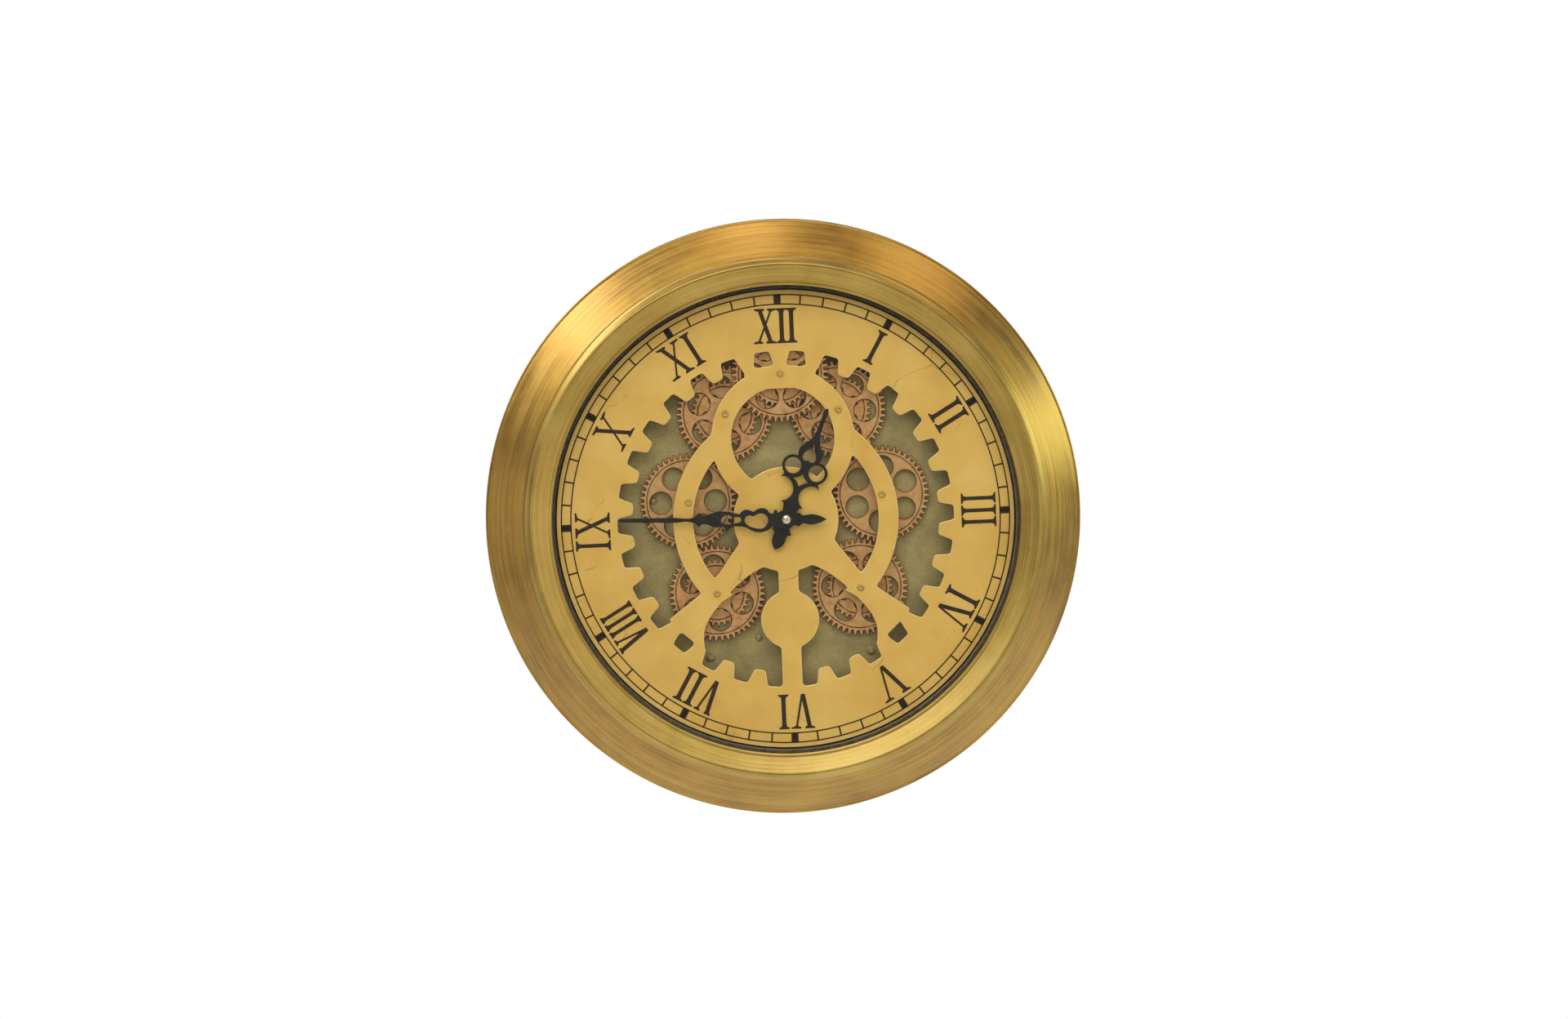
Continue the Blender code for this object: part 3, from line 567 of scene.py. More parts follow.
# %% Openings of the dial
GAPS = 30
GAP_ROOT, GAP_END = 77.2, 85.0
GAP_ROOT_WIDTH, GAP_END_WIDTH = 10.3, 7.3
HUB = 26.5
UPPER_RING_Y, UPPER_RING_IN, UPPER_RING_OUT = 40.85, 26.0, 36.1
BIG_RING_IN, BIG_RING_OUT = 46.8, 56.9
STEM_HALF = 5.0
BOSS_Y, BOSS = -50.8, 14.7
CROWN_TOP, CROWN_HALF = 77.5, 14      # the sheet left between the upper ring and the rim, in mm and degrees


def window_outline():
    """The window's edge: gaps that narrow outwards, with rounded corners at their ends."""
    loop = []
    for gap in range(GAPS):
        heading = math.radians(90 + 6 - 12 * gap)
        for size, half, fillet in ((GAP_ROOT, GAP_ROOT_WIDTH / 2, 0.7), (GAP_END, GAP_END_WIDTH / 2, 1.4),
                                   (GAP_END, -GAP_END_WIDTH / 2, 1.4), (GAP_ROOT, -GAP_ROOT_WIDTH / 2, 0.7)):
            angle = heading + half / size
            loop.append((size * math.cos(angle), size * math.sin(angle), fillet))
    return rounded(loop, 5)


def leg_outline(side):
    """A leg runs from the hub across the big ring to the rim, and broadens where it meets them."""
    right = [(0, 0), (24.2, -11.5), (36.8, -28.9, 8), (44.4, -36.0, 4), (66.5, -52.0), (77.0, -59.6),
             (57.0, -77.5), (43.4, -68.0, 3), (43.7, -63.8, 3), (44.0, -56.6, 4), (42.3, -51.2, 4),
             (39.1, -46.2, 4), (34.3, -40.6, 4), (27.3, -33.3, 4), (19.0, -26.9, 4), (12.2, -23.5)]
    return [(side * x, y) for x, y in rounded(right, 5)]


def thinned(loop, least=0.4, bow=0.004):
    """Drops points that stand too close together, and then those on a straight stretch."""
    spaced = loop[:1]
    for point in loop[1:]:
        if math.dist(point, spaced[-1]) > least:
            spaced.append(point)
    if math.dist(spaced[0], spaced[-1]) <= least:
        spaced.pop()
    kept = []
    for i, point in enumerate(spaced):
        before, after = Vector(spaced[i - 1]), Vector(spaced[(i + 1) % len(spaced)])
        along = (after - before).normalized()
        if abs(along.cross(Vector(point) - before)) > bow:
            kept.append(point)
    return kept


def softened(loop, reach, sharp=0.5):
    """Rounds each corner that turns by more than sharp radians, over a stretch on either side of it."""
    spots = [Vector(point) for point in loop]
    count = len(spots)
    corners = [i for i, here in enumerate(spots)
               if (here - spots[i - 1]).angle(spots[(i + 1) % count] - here) > sharp]
    reaches = {}
    for place, i in enumerate(corners):
        others = corners[place - 1], corners[(place + 1) % len(corners)]
        reaches[i] = min(reach, *(0.45 * (spots[i] - spots[k]).length for k in others))
    points = []
    for i, here in enumerate(spots):
        if i not in reaches:
            if all((here - spots[k]).length > reaches[k] for k in corners):
                points.append(tuple(here))
            continue
        ends = []
        for step in (-1, 1):
            k = i + step
            while (spots[k % count] - here).length <= reaches[i]:
                k += step
            ends.append(here + (spots[k % count] - here).normalized() * reaches[i])
        points += [tuple(ends[0] * (1 - t) ** 2 + here * 2 * t * (1 - t) + ends[1] * t * t)
                   for t in (0, 0.25, 0.5, 0.75, 1)]
    return points


SMALL_HOLE = 45             # mm round its edge
HOLE_REACH, WINDOW_REACH = 2.4, 1.4     # mm from a corner to where its rounding starts


def edge_loops(thing, level):
    """The closed edges of a shape's flat face at one depth, thinned and with softened corners."""
    shape = bmesh.new()
    shape.from_mesh(thing.data)
    nexts = {}
    for face in shape.faces:
        if face.normal.z < 0.5 or abs(face.calc_center_median().z - level) > 0.01:
            continue
        for loop in face.loops:
            others = [other for other in loop.edge.link_faces if other != face]
            if not others or others[0].normal.z < 0.5:
                nexts[loop.vert.index] = loop.link_loop_next.vert.index
    shape.verts.ensure_lookup_table()
    loops = []
    while nexts:
        first, following = nexts.popitem()
        track = [first]
        while following != first:
            track.append(following)
            following = nexts.pop(following)
        corners = thinned([tuple(shape.verts[index].co.xy) for index in track])
        length = sum(math.dist(corners[i - 1], corner) for i, corner in enumerate(corners))
        loops.append(softened(corners, HOLE_REACH if length < SMALL_HOLE else WINDOW_REACH))
    shape.free()
    return loops


WINDOW_FRONT = 4
window = pierced("window", [window_outline()], 0, WINDOW_FRONT)
# every bar is cut out at heights of its own, since Booleans go wrong where two faces lie together
ring_band = pierced("big_ring", [circle(BIG_RING_OUT, sides=240), circle(BIG_RING_IN, sides=240)], -3, 7)
ring_band = cut(ring_band, pierced("upper_opening", [circle(UPPER_RING_IN, (0, UPPER_RING_Y), 180)], -4, 8))
below_legs = [(0, -20), (70, -62), (70, -90), (-70, -90), (-70, -62)]
ring_band = cut(ring_band, pierced("below_legs", [below_legs], -5, 9))
bars = [ring_band]
for side in (1, -1):
    leg = pierced(f"leg_{side}", [leg_outline(side)], -2, 6)
    beyond = pierced("beyond_root", [circle(110, sides=90), circle(GAP_ROOT + 0.4, sides=240)], -3, 7)
    bars.append(cut(leg, beyond))
upper_loops = [circle(size, (0, UPPER_RING_Y), 240) for size in (UPPER_RING_OUT, UPPER_RING_IN)]
bars.append(pierced("upper_ring", upper_loops, -1, 5))
bars.append(pierced("hub", [circle(HUB, sides=240)], -1.5, 5.5))
bars.append(pierced("boss", [circle(BOSS, (0, BOSS_Y), 180)], -2.5, 6.5))
stem = [(-STEM_HALF, -100), (STEM_HALF, -100), (STEM_HALF, 0), (-STEM_HALF, 0)]
bars.append(pierced("stem", [stem], -3.5, 7.5))
crown = arc(CROWN_TOP, range(90 - CROWN_HALF, 91 + CROWN_HALF)) + [(-14.0, 66.0), (14.0, 66.0)]
bars.append(pierced("crown", [crown], -4.5, 8.5))
for bar in bars:
    window = cut(window, bar)
openings = edge_loops(window, WINDOW_FRONT)
bpy.data.objects.remove(window, do_unlink=True)
print("openings in the dial:", len(openings))

# %% [markdown]
# Gold lacquer is not a mirror: tiny flakes in it scatter light, so it is mostly diffuse with a soft sheen.
# Years of wiping leave hairline scratches, fine dark specks and slow clouds of tone, and each of these is
# its own pattern at its own size.

# %% Gold lacquer
ARBORS = ["top"] + [f"{side}_{part}" for side in ("left", "right") for part in ("side", "upper", "lower")]

lacquer, tree, shader, place = start("gold_lacquer", metallic=0.35, roughness=0.46)
cloud = node(tree, "ShaderNodeTexNoise", {"Vector": place, "Scale": 0.035, "Detail": 6.0, "Roughness": 0.6})
tone = node(tree, "ShaderNodeValToRGB", {0: cloud.outputs[0]},
            stops=((0.3, "DCAE52"), (0.5, "E5BB5E"), (0.72, "ECC66C")))
bend = node(tree, "ShaderNodeTexNoise", {"Vector": place, "Scale": 0.05, "Detail": 2.0})
wander = node(tree, "ShaderNodeVectorMath", {0: bend.outputs["Color"], 1: (18, 18, 0), 2: place},
              operation="MULTIPLY_ADD")
# hairlines follow the edges of large wandering cells, about 45 mm across, and only here and there
hair = node(tree, "ShaderNodeTexVoronoi", {"Vector": wander.outputs[0], "Scale": 0.022},
            feature="DISTANCE_TO_EDGE")
thin = node(tree, "ShaderNodeMapRange", {0: hair.outputs["Distance"], 1: 0.0, 2: 0.006, 3: 1.0, 4: 0.0})
patchy = node(tree, "ShaderNodeTexNoise", {"Vector": place, "Scale": 0.06, "Detail": 2.0})
here_and_there = node(tree, "ShaderNodeMapRange", {0: patchy.outputs[0], 1: 0.54, 2: 0.6, 3: 0.0, 4: 0.55})
scratch = node(tree, "ShaderNodeMath", {0: thin.outputs[0], 1: here_and_there.outputs[0]},
               operation="MULTIPLY")
# specks about 0.5 mm wide sit in some of the cells of a 9 mm grid
speck = node(tree, "ShaderNodeTexVoronoi", {"Vector": place, "Scale": 0.11})
dot = node(tree, "ShaderNodeMapRange", {0: speck.outputs["Distance"], 1: 0.02, 2: 0.045, 3: 0.5, 4: 0.0})
worn = node(tree, "ShaderNodeMath", {0: scratch.outputs[0], 1: dot.outputs[0]}, operation="MAXIMUM")
aged = node(tree, "ShaderNodeMix", {0: worn.outputs[0], 6: tone.outputs[0], 7: linear("7A5F2C")},
            data_type="RGBA")
tree.links.new(aged.outputs[2], shader.inputs["Base Color"])
grit = node(tree, "ShaderNodeTexNoise", {"Vector": place, "Scale": 1.1, "Detail": 4.0, "Roughness": 0.7})
dull = node(tree, "ShaderNodeMapRange", {0: grit.outputs[0], 1: 0.3, 2: 0.7, 3: 0.40, 4: 0.52})
tree.links.new(dull.outputs[0], shader.inputs["Roughness"])
grain = node(tree, "ShaderNodeBump", {"Strength": 0.25, "Distance": 0.0001, "Height": grit.outputs[0]})
gouge = node(tree, "ShaderNodeBump", {"Strength": 0.6, "Distance": 0.0001, "Height": worn.outputs[0],
                                      "Normal": grain.outputs[0]}, invert=True)
tree.links.new(gouge.outputs[0], shader.inputs["Normal"])

# %% Pierce the dial
dial_back, dial_front = levels("dial_plate")
dial_holes = [circle(4.4, sides=64)] + [circle(1.4, middle(f"arbor_{name}"), 24) for name in ARBORS]
dial = pierced("pierced_dial", [circle(radius("dial_plate"), sides=360)] + dial_holes + openings,
               dial_back, dial_front, 0.3)
# painted highlight: the rounded edges of the openings are painted a paler gold, for the thin line of light
# along them
painted_highlight_edge = speckled("painted_highlight_gold_edge", ("F0CC7E", "FCE6A8"), 0.8, (0.3, 0.42), 0.4)
hand_in(dial, lacquer, "dial_brass", "dial_plate", painted_edge_light=painted_highlight_edge)

# %% [markdown]
# ## Growing what repeats
# Sixty minute marks, forty-eight teeth and six holes follow rules, so Geometry Nodes make them. A tree is a
# recipe with named inputs: the same recipe gives thin marks or thick blocks, a front gear or a rear gear.
# The result is taken out as a plain mesh, because the finished clock needs no live recipe.

# %% Geometry Nodes tools
def recipe(name, inputs):
    """A new tree with named inputs and one geometry output; returns the tree and its input node."""
    tree = bpy.data.node_groups.new(name, "GeometryNodeTree")
    for label, kind in inputs.items():
        tree.interface.new_socket(name=label, in_out="INPUT", socket_type=kind)
    tree.interface.new_socket(name="Geometry", in_out="OUTPUT", socket_type="NodeSocketGeometry")
    return tree, tree.nodes.new("NodeGroupInput").outputs


def grown(name, tree, values):
    """Runs a recipe with its inputs set by identifier, and gives back a plain mesh."""
    seed = bpy.data.objects.new(name, bpy.data.meshes.new(name))
    step = seed.modifiers.new("Recipe", "NODES")
    step.node_group = tree
    for item in tree.interface.items_tree:
        if item.in_out == "INPUT":
            step[item.identifier] = values[item.name]
    return plain_mesh(seed)


# %% Marks round the minute track
FLOAT, COUNT, PAINT = "NodeSocketFloat", "NodeSocketInt", "NodeSocketMaterial"
marks, given = recipe("track_marks", {"Count": COUNT, "Radius": FLOAT, "Length": FLOAT, "Width": FLOAT,
                                      "Height": FLOAT, "Material": PAINT})
size = node(marks, "ShaderNodeCombineXYZ", {0: given["Length"], 1: given["Width"], 2: given["Height"]})
bar = node(marks, "GeometryNodeMeshCube", {"Size": size.outputs[0]})
places = node(marks, "GeometryNodeCurvePrimitiveCircle", {"Resolution": given["Count"],
                                                          "Radius": given["Radius"]}, mode="RADIUS")
spot = node(marks, "GeometryNodeInputPosition")
outward = node(marks, "FunctionNodeAlignEulerToVector", {"Vector": spot.outputs[0]}, axis="X")
stamped = node(marks, "GeometryNodeInstanceOnPoints", {
    "Points": places.outputs[0], "Instance": bar.outputs[0], "Rotation": outward.outputs[0]})
real = node(marks, "GeometryNodeRealizeInstances", {0: stamped.outputs[0]})
inked = node(marks, "GeometryNodeSetMaterial", {0: real.outputs[0], "Material": given["Material"]})
node(marks, "NodeGroupOutput", {0: inked.outputs[0]})

# %% [markdown]
# ## Print on the dial
# The numerals and the minute track are screen printed in matt black, a film so thin that only its colour
# shows. Here the film is a twentieth of a millimetre thick, so it has an edge of its own. Each numeral is
# drawn about its own spoke with its feet to the centre.

# %% Black print
ink, tree, shader, place = start("screen_print_black", roughness=0.6, Specular_IOR_Level=0.25)
film = node(tree, "ShaderNodeTexNoise", {"Vector": place, "Scale": 0.8, "Detail": 6.0, "Roughness": 0.7})
dressed(tree, shader, film.outputs[0], ((0.35, "22170C"), (0.75, "3A2A18")), (0.45, 0.65))

FILM = 0.05                 # mm that the print stands above the dial
TRACK_OUT, TRACK_IN = 113.1, 108.35
TRACK_LINE = 0.34           # half the width of a track line
print_low, print_high = dial_front - 0.02, dial_front + FILM
lines = []
for i, size in enumerate((TRACK_OUT, TRACK_IN)):
    profile = ring_profile(size - TRACK_LINE, size + TRACK_LINE, print_low, print_high, 0.01)
    lines.append(turned(f"line_{i}", profile, 360))
track_mid, track_width = (TRACK_OUT + TRACK_IN) / 2, TRACK_OUT - TRACK_IN
mark_sets = []
for label, count, width in (("minutes", 60, 0.85), ("fives", 12, 3.6)):
    mark = grown(label, marks, {"Count": count, "Radius": track_mid, "Length": track_width + 0.3,
                                "Width": width, "Height": print_high - print_low, "Material": ink})
    mark.data.transform(Matrix.Translation((0, 0, (print_low + print_high) / 2)))
    mark_sets.append(mark)
hand_in(joined("minute_track_print", lines + mark_sets), ink, "black_hands", rides_with="dial_plate")

# %% Numerals
FOOT, HEAD = 88.7, 106.3    # inner and outer end of every numeral
TALL = HEAD - FOOT
SERIF = 0.75                # thickness of a serif


def stroke_i(x, half=1.1, foot=2.7):
    """An upright with bracketed serifs."""
    right = [(foot, 0, 0), (foot, SERIF, 0), (half + 0.35, SERIF + 0.7), (half, 2.8, 0),
             (half, TALL - 2.8, 0), (half + 0.35, TALL - SERIF - 0.7), (foot, TALL - SERIF, 0),
             (foot, TALL, 0)]
    left = [(-p[0], *p[1:]) for p in reversed(right)]
    return [Flowing([(x + p[0], *p[1:]) for p in right + left])]


def slanted(x_foot, x_head, half, foot=0.0, head=TALL, cap_foot=True, cap_head=True, serif=2.4):
    """A slanting stroke with a level serif at either end, as one outline."""
    lean = (x_head - x_foot) / (head - foot)

    def at(height, side):
        return (x_foot + lean * (height - foot) + side * half, height, 0)

    right, left = [], []
    if cap_foot:
        right += [(x_foot + serif, foot, 0), (x_foot + serif, foot + SERIF, 0), at(foot + 1.5, 1)]
        left += [(x_foot - serif, foot, 0), (x_foot - serif, foot + SERIF, 0), at(foot + 1.5, -1)]
    else:
        right.append(at(foot, 1))
        left.append(at(foot, -1))
    if cap_head:
        right += [at(head - 1.5, 1), (x_head + serif, head - SERIF, 0), (x_head + serif, head, 0)]
        left += [at(head - 1.5, -1), (x_head - serif, head - SERIF, 0), (x_head - serif, head, 0)]
    else:
        right.append(at(head, 1))
        left.append(at(head, -1))
    return Flowing(right + left[::-1])


def letter_v(apex, left, right):
    """A thick and a thin stroke that meet at the foot."""
    serif = 2.5 if right - left > 6 else 1.7
    return [slanted(apex - 0.2, left, 1.08, cap_foot=False, serif=serif),
            slanted(apex + 0.2, right, 0.55, cap_foot=False, serif=serif)]


def letter_x(centre, reach):
    """A thick and a thin stroke that cross."""
    return [slanted(centre + reach, centre - reach, 1.08, serif=2.6),
            slanted(centre - reach - 0.9, centre + reach + 0.6, 0.55, serif=2.3)]


NUMERALS = {
    1: stroke_i(-0.3), 2: stroke_i(-3.7) + stroke_i(2.5),
    3: stroke_i(-6.5, 0.95) + stroke_i(-0.4, 0.95) + stroke_i(5.4, 0.95),
    4: stroke_i(-6.6) + letter_v(3.0, -1.0, 6.9), 5: letter_v(-0.5, -5.3, 4.8),
    6: letter_v(-4.6, -7.9, -1.0) + stroke_i(5.1),
    7: letter_v(-7.0, -10.1, -4.3) + stroke_i(1.0) + stroke_i(6.6),
    8: letter_v(-9.1, -11.8, -6.9) + stroke_i(-2.6, 0.9, 1.8) + stroke_i(1.7, 0.9, 1.8)
    + stroke_i(6.2, 0.9, 1.8),
    9: stroke_i(-9.3, 0.95) + letter_x(0.9, 3.7), 10: letter_x(-1.2, 3.9),
    11: letter_x(-4.1, 3.6) + stroke_i(6.0), 12: letter_x(-6.5, 2.8) + stroke_i(1.7) + stroke_i(6.7)}
strokes = []
for hour, letters in NUMERALS.items():
    for place, letter in enumerate(letters):
        # each stroke is a hair thicker than the last, so that crossing strokes never share a face
        stroke = pierced(f"stroke_{hour}_{place}", [letter], print_low, print_high + 0.004 * (place % 4))
        spoke = Matrix.Rotation(-hour * TAU / 12, 4, "Z") @ Matrix.Translation((0, FOOT, 0))
        stroke.data.transform(spoke)
        strokes.append(stroke)
print("strokes in the numerals:", len(strokes))
hand_in(joined("hour_numeral_print", strokes), ink, "black_hands", rides_with="dial_plate")

# %% [markdown]
# ## The gears
# Seven copper gears stand behind the window, with smaller ones behind all but two of them. A gear is the
# best case for a recipe: its edge is a circle whose radius rises and falls with the cosine of the angle,
# clamped so that tips and roots are flat. Holes are stamped on a smaller circle, and a groove is left by
# building the web in two rings with a thin floor between them. A fine bead runs along every cut edge, as
# the press leaves it, and its sloping faces carry a painted shade in dark brown, the dark line that makes
# each tooth crisp.

# %% A slab from flat outlines
slab, given = recipe("slab", {"Outlines": "NodeSocketGeometry", "Thickness": FLOAT})
filled = node(slab, "GeometryNodeFillCurve", {0: given["Outlines"]})
rise = node(slab, "ShaderNodeCombineXYZ", {2: 1.0})
walls_up = node(slab, "GeometryNodeExtrudeMesh", {"Mesh": filled.outputs[0], "Offset": rise.outputs[0],
                                                  "Offset Scale": given["Thickness"], "Individual": False})
under = node(slab, "GeometryNodeFlipFaces", {0: filled.outputs[0]})
both = node(slab, "GeometryNodeJoinGeometry", {0: walls_up.outputs[0]})
slab.links.new(under.outputs[0], both.inputs[0])
welded = node(slab, "GeometryNodeMergeByDistance", {"Geometry": both.outputs[0], "Distance": 0.001})
node(slab, "NodeGroupOutput", {0: welded.outputs[0]})

# %% The gear recipe
gear, given = recipe("pressed_gear", {
    "Teeth": COUNT, "Root": FLOAT, "Tip": FLOAT, "Tooth Turn": FLOAT, "Holes": COUNT, "Hole Circle": FLOAT,
    "Hole Radius": FLOAT, "Hole Turn": FLOAT, "Bore": FLOAT, "Groove": FLOAT, "Groove Width": FLOAT,
    "Thickness": FLOAT, "Bead": FLOAT, "Material": PAINT})
POINTS_PER_TOOTH = 14
TOOTH_FLATNESS = 2.3        # above 1 the cosine is clipped, which gives flat tips and roots
TOOTH_SLACK = 0.35          # makes the gap wider than the tooth
FLOOR_SHARE = 0.55          # thickness under the groove as a share of the whole

points = node(gear, "ShaderNodeMath", {0: given["Teeth"], 1: POINTS_PER_TOOTH}, operation="MULTIPLY")
blank = node(gear, "GeometryNodeCurvePrimitiveCircle", {"Resolution": points.outputs[0], "Radius": 1.0},
             mode="RADIUS")
spot = node(gear, "GeometryNodeInputPosition")
parts = node(gear, "ShaderNodeSeparateXYZ", {0: spot.outputs[0]})
heading = node(gear, "ShaderNodeMath", {0: parts.outputs[1], 1: parts.outputs[0]}, operation="ARCTAN2")
turned_by = node(gear, "ShaderNodeMath", {0: heading.outputs[0], 1: given["Tooth Turn"]},
                 operation="SUBTRACT")
phase = node(gear, "ShaderNodeMath", {0: turned_by.outputs[0], 1: given["Teeth"]}, operation="MULTIPLY")
wave = node(gear, "ShaderNodeMath", {0: phase.outputs[0]}, operation="COSINE")
steep = node(gear, "ShaderNodeMath", {0: wave.outputs[0], 1: TOOTH_FLATNESS, 2: -TOOTH_SLACK},
             operation="MULTIPLY_ADD")
reach = node(gear, "ShaderNodeMapRange", {0: steep.outputs[0], 1: -1.0, 2: 1.0, 3: given["Root"],
                                          4: given["Tip"]}, clamp=True)
moved = node(gear, "ShaderNodeVectorMath", {0: spot.outputs[0], "Scale": reach.outputs[0]},
             operation="SCALE")
edge = node(gear, "GeometryNodeSetPosition", {"Geometry": blank.outputs[0], "Position": moved.outputs[0]})

hole = node(gear, "GeometryNodeCurvePrimitiveCircle", {"Resolution": 40, "Radius": given["Hole Radius"]},
            mode="RADIUS")
hole_places = node(gear, "GeometryNodeCurvePrimitiveCircle", {"Resolution": given["Holes"],
                                                              "Radius": given["Hole Circle"]}, mode="RADIUS")
hole_turn = node(gear, "ShaderNodeCombineXYZ", {2: given["Hole Turn"]})
hole_set = node(gear, "GeometryNodeInstanceOnPoints", {"Points": hole_places.outputs[0],
                                                       "Instance": hole.outputs[0]})
hole_real = node(gear, "GeometryNodeRealizeInstances", {0: hole_set.outputs[0]})
holes = node(gear, "GeometryNodeTransform", {"Geometry": hole_real.outputs[0],
                                             "Rotation": hole_turn.outputs[0]})
bore = node(gear, "GeometryNodeCurvePrimitiveCircle", {"Resolution": 32, "Radius": given["Bore"]},
            mode="RADIUS")

half_groove = node(gear, "ShaderNodeMath", {0: given["Groove Width"], 1: 0.5}, operation="MULTIPLY")
web = {}
# the floor reaches 0.3 mm under either ring
for label, sign, extra in (("inner", -1, 0.0), ("outer", 1, 0.0),
                           ("floor_in", -1, -0.3), ("floor_out", 1, 0.3)):
    offset = node(gear, "ShaderNodeMath", {0: half_groove.outputs[0], 1: float(sign), 2: given["Groove"]},
                  operation="MULTIPLY_ADD")
    edge_at = node(gear, "ShaderNodeMath", {0: offset.outputs[0], 1: extra}, operation="ADD")
    web[label] = node(gear, "GeometryNodeCurvePrimitiveCircle", {
        "Resolution": 128, "Radius": edge_at.outputs[0]}, mode="RADIUS").outputs[0]
floor_height = node(gear, "ShaderNodeMath", {0: given["Thickness"], 1: FLOOR_SHARE}, operation="MULTIPLY")
bodies = []
for outlines, height in (((edge.outputs[0], web["outer"]), given["Thickness"]),
                         ((web["inner"], holes.outputs[0], bore.outputs[0]), given["Thickness"]),
                         ((web["floor_in"], web["floor_out"]), floor_height.outputs[0])):
    gathered = node(gear, "GeometryNodeJoinGeometry")
    for outline in outlines:
        gear.links.new(outline, gathered.inputs[0])
    body = node(gear, "GeometryNodeGroup", node_tree=slab)
    gear.links.new(gathered.outputs[0], body.inputs["Outlines"])
    gear.links.new(height, body.inputs["Thickness"])
    bodies.append(body.outputs[0])

bead_profile = node(gear, "GeometryNodeCurvePrimitiveCircle", {"Resolution": 8, "Radius": given["Bead"]},
                    mode="RADIUS")
bead_paths = node(gear, "GeometryNodeJoinGeometry", {0: edge.outputs[0]})
gear.links.new(holes.outputs[0], bead_paths.inputs[0])
bead = node(gear, "GeometryNodeCurveToMesh", {"Curve": bead_paths.outputs[0],
                                              "Profile Curve": bead_profile.outputs[0]})
bead_lift = node(gear, "ShaderNodeCombineXYZ", {2: given["Thickness"]})
bead_up = node(gear, "GeometryNodeTransform", {"Geometry": bead.outputs[0],
                                               "Translation": bead_lift.outputs[0]})
whole = node(gear, "GeometryNodeJoinGeometry", {0: bead_up.outputs[0]})
for body in bodies:
    gear.links.new(body, whole.inputs[0])
real = node(gear, "GeometryNodeRealizeInstances", {0: whole.outputs[0]})
coppered = node(gear, "GeometryNodeSetMaterial", {0: real.outputs[0], "Material": given["Material"]})
node(gear, "NodeGroupOutput", {0: coppered.outputs[0]})
print("gear recipe has", len(gear.nodes), "nodes")

# %% [markdown]
# Antiqued copper is plated, dipped until it goes dark brown, and then rubbed back, so the flat parts shine
# and the brown stays in the groove and round the bore; the dark line along the cut edges is painted shade.
# Groove and bore are rings about each gear's own centre, so each gear has its own copy of the finish, centred
# by its Mapping.

# %% Antiqued copper
def antique_copper(name, centre, brown_rings):
    """Copper with brown rings, each given by its radius and by how far the brown reaches from it."""
    material, tree, shader, place = start(name, centre, metallic=0.85)
    flat = node(tree, "ShaderNodeVectorMath", {0: place, 1: (1, 1, 0)}, operation="MULTIPLY")
    out = node(tree, "ShaderNodeVectorMath", {0: flat.outputs[0]}, operation="LENGTH").outputs["Value"]
    cloud = node(tree, "ShaderNodeTexNoise", {"Vector": place, "Scale": 0.16, "Detail": 7.0,
                                              "Roughness": 0.68})
    tone = node(tree, "ShaderNodeValToRGB", {0: cloud.outputs[0]},
                stops=((0.3, "B8834F"), (0.5, "DCAA70"), (0.72, "EEC48E")))
    dark = 0.0
    for size, width in brown_rings:
        gap = node(tree, "ShaderNodeMath", {0: out, 1: size}, operation="SUBTRACT")
        far = node(tree, "ShaderNodeMath", {0: gap.outputs[0]}, operation="ABSOLUTE")
        ring = node(tree, "ShaderNodeMapRange", {0: far.outputs[0], 1: width * 0.4, 2: width, 3: 1.0, 4: 0.0})
        dark = node(tree, "ShaderNodeMath", {0: dark, 1: ring.outputs[0]}, operation="MAXIMUM").outputs[0]
    patch = node(tree, "ShaderNodeMapRange", {0: cloud.outputs[0], 1: 0.35, 2: 0.6, 3: 0.95, 4: 0.55})
    amount = node(tree, "ShaderNodeMath", {0: dark, 1: patch.outputs[0]}, operation="MULTIPLY")
    aged = node(tree, "ShaderNodeMix", {0: amount.outputs[0], 6: tone.outputs[0], 7: linear("3C2414")},
                data_type="RGBA")
    tree.links.new(aged.outputs[2], shader.inputs["Base Color"])
    dull = node(tree, "ShaderNodeMapRange", {0: cloud.outputs[0], 1: 0.3, 2: 0.7, 3: 0.5, 4: 0.34})
    tree.links.new(dull.outputs[0], shader.inputs["Roughness"])
    grit = node(tree, "ShaderNodeTexNoise", {"Vector": place, "Scale": 1.4, "Detail": 4.0})
    skin = node(tree, "ShaderNodeBump", {"Strength": 0.4, "Distance": 0.00012, "Height": grit.outputs[0]})
    tree.links.new(skin.outputs[0], shader.inputs["Normal"])
    return material


# painted shade: a dark brown for the sloping faces of every bead, the dark outline of each tooth and hole
painted_shade_edge = speckled("painted_shade_brown_edge", ("38200F", "6A4526"), 0.8, (0.5, 0.65), 0.3)

# %% Grow the front gears
GEAR_TEETH, GEAR_ROOT, GEAR_TIP = 48, 22.2, 24.5
BEAD = 0.17                 # mm, radius of the bead on a cut edge
GROOVE, GROOVE_WIDTH, BROWN_REACH = 20.9, 0.6, 0.5
BORE_BROWN = (0.0, 3.2)     # brown from the middle of a gear out to here
HOLE_TURNS = {"top": 0, "left_side": 0, "right_side": 26, "left_lower": -25, "right_lower": -4,
              "left_upper": -23, "right_upper": -5}
centres = {name: middle(f"arbor_{name}") for name in ARBORS}


def tooth_turn(name):
    """Turns a gear so that its teeth stand in the gaps of the side gear that it meshes with."""
    pitch = TAU / GEAR_TEETH
    if name == "top":
        return 0.0
    side = name.split("_")[0]
    side_turn = 0.0 if side == "left" else pitch / 2
    if name.endswith("side"):
        return side_turn
    here, other = centres[name], centres[f"{side}_side"]
    bearing = math.atan2(here[1] - other[1], here[0] - other[0])
    lead = (side_turn - bearing) % pitch
    return bearing + math.pi - lead + pitch / 2


def plant(name, tree, values, centre, level):
    """Grows a piece from a recipe and puts it at its place and depth."""
    thing = grown(name, tree, values)
    thing.data.transform(Matrix.Translation((*centre, level)))
    return thing


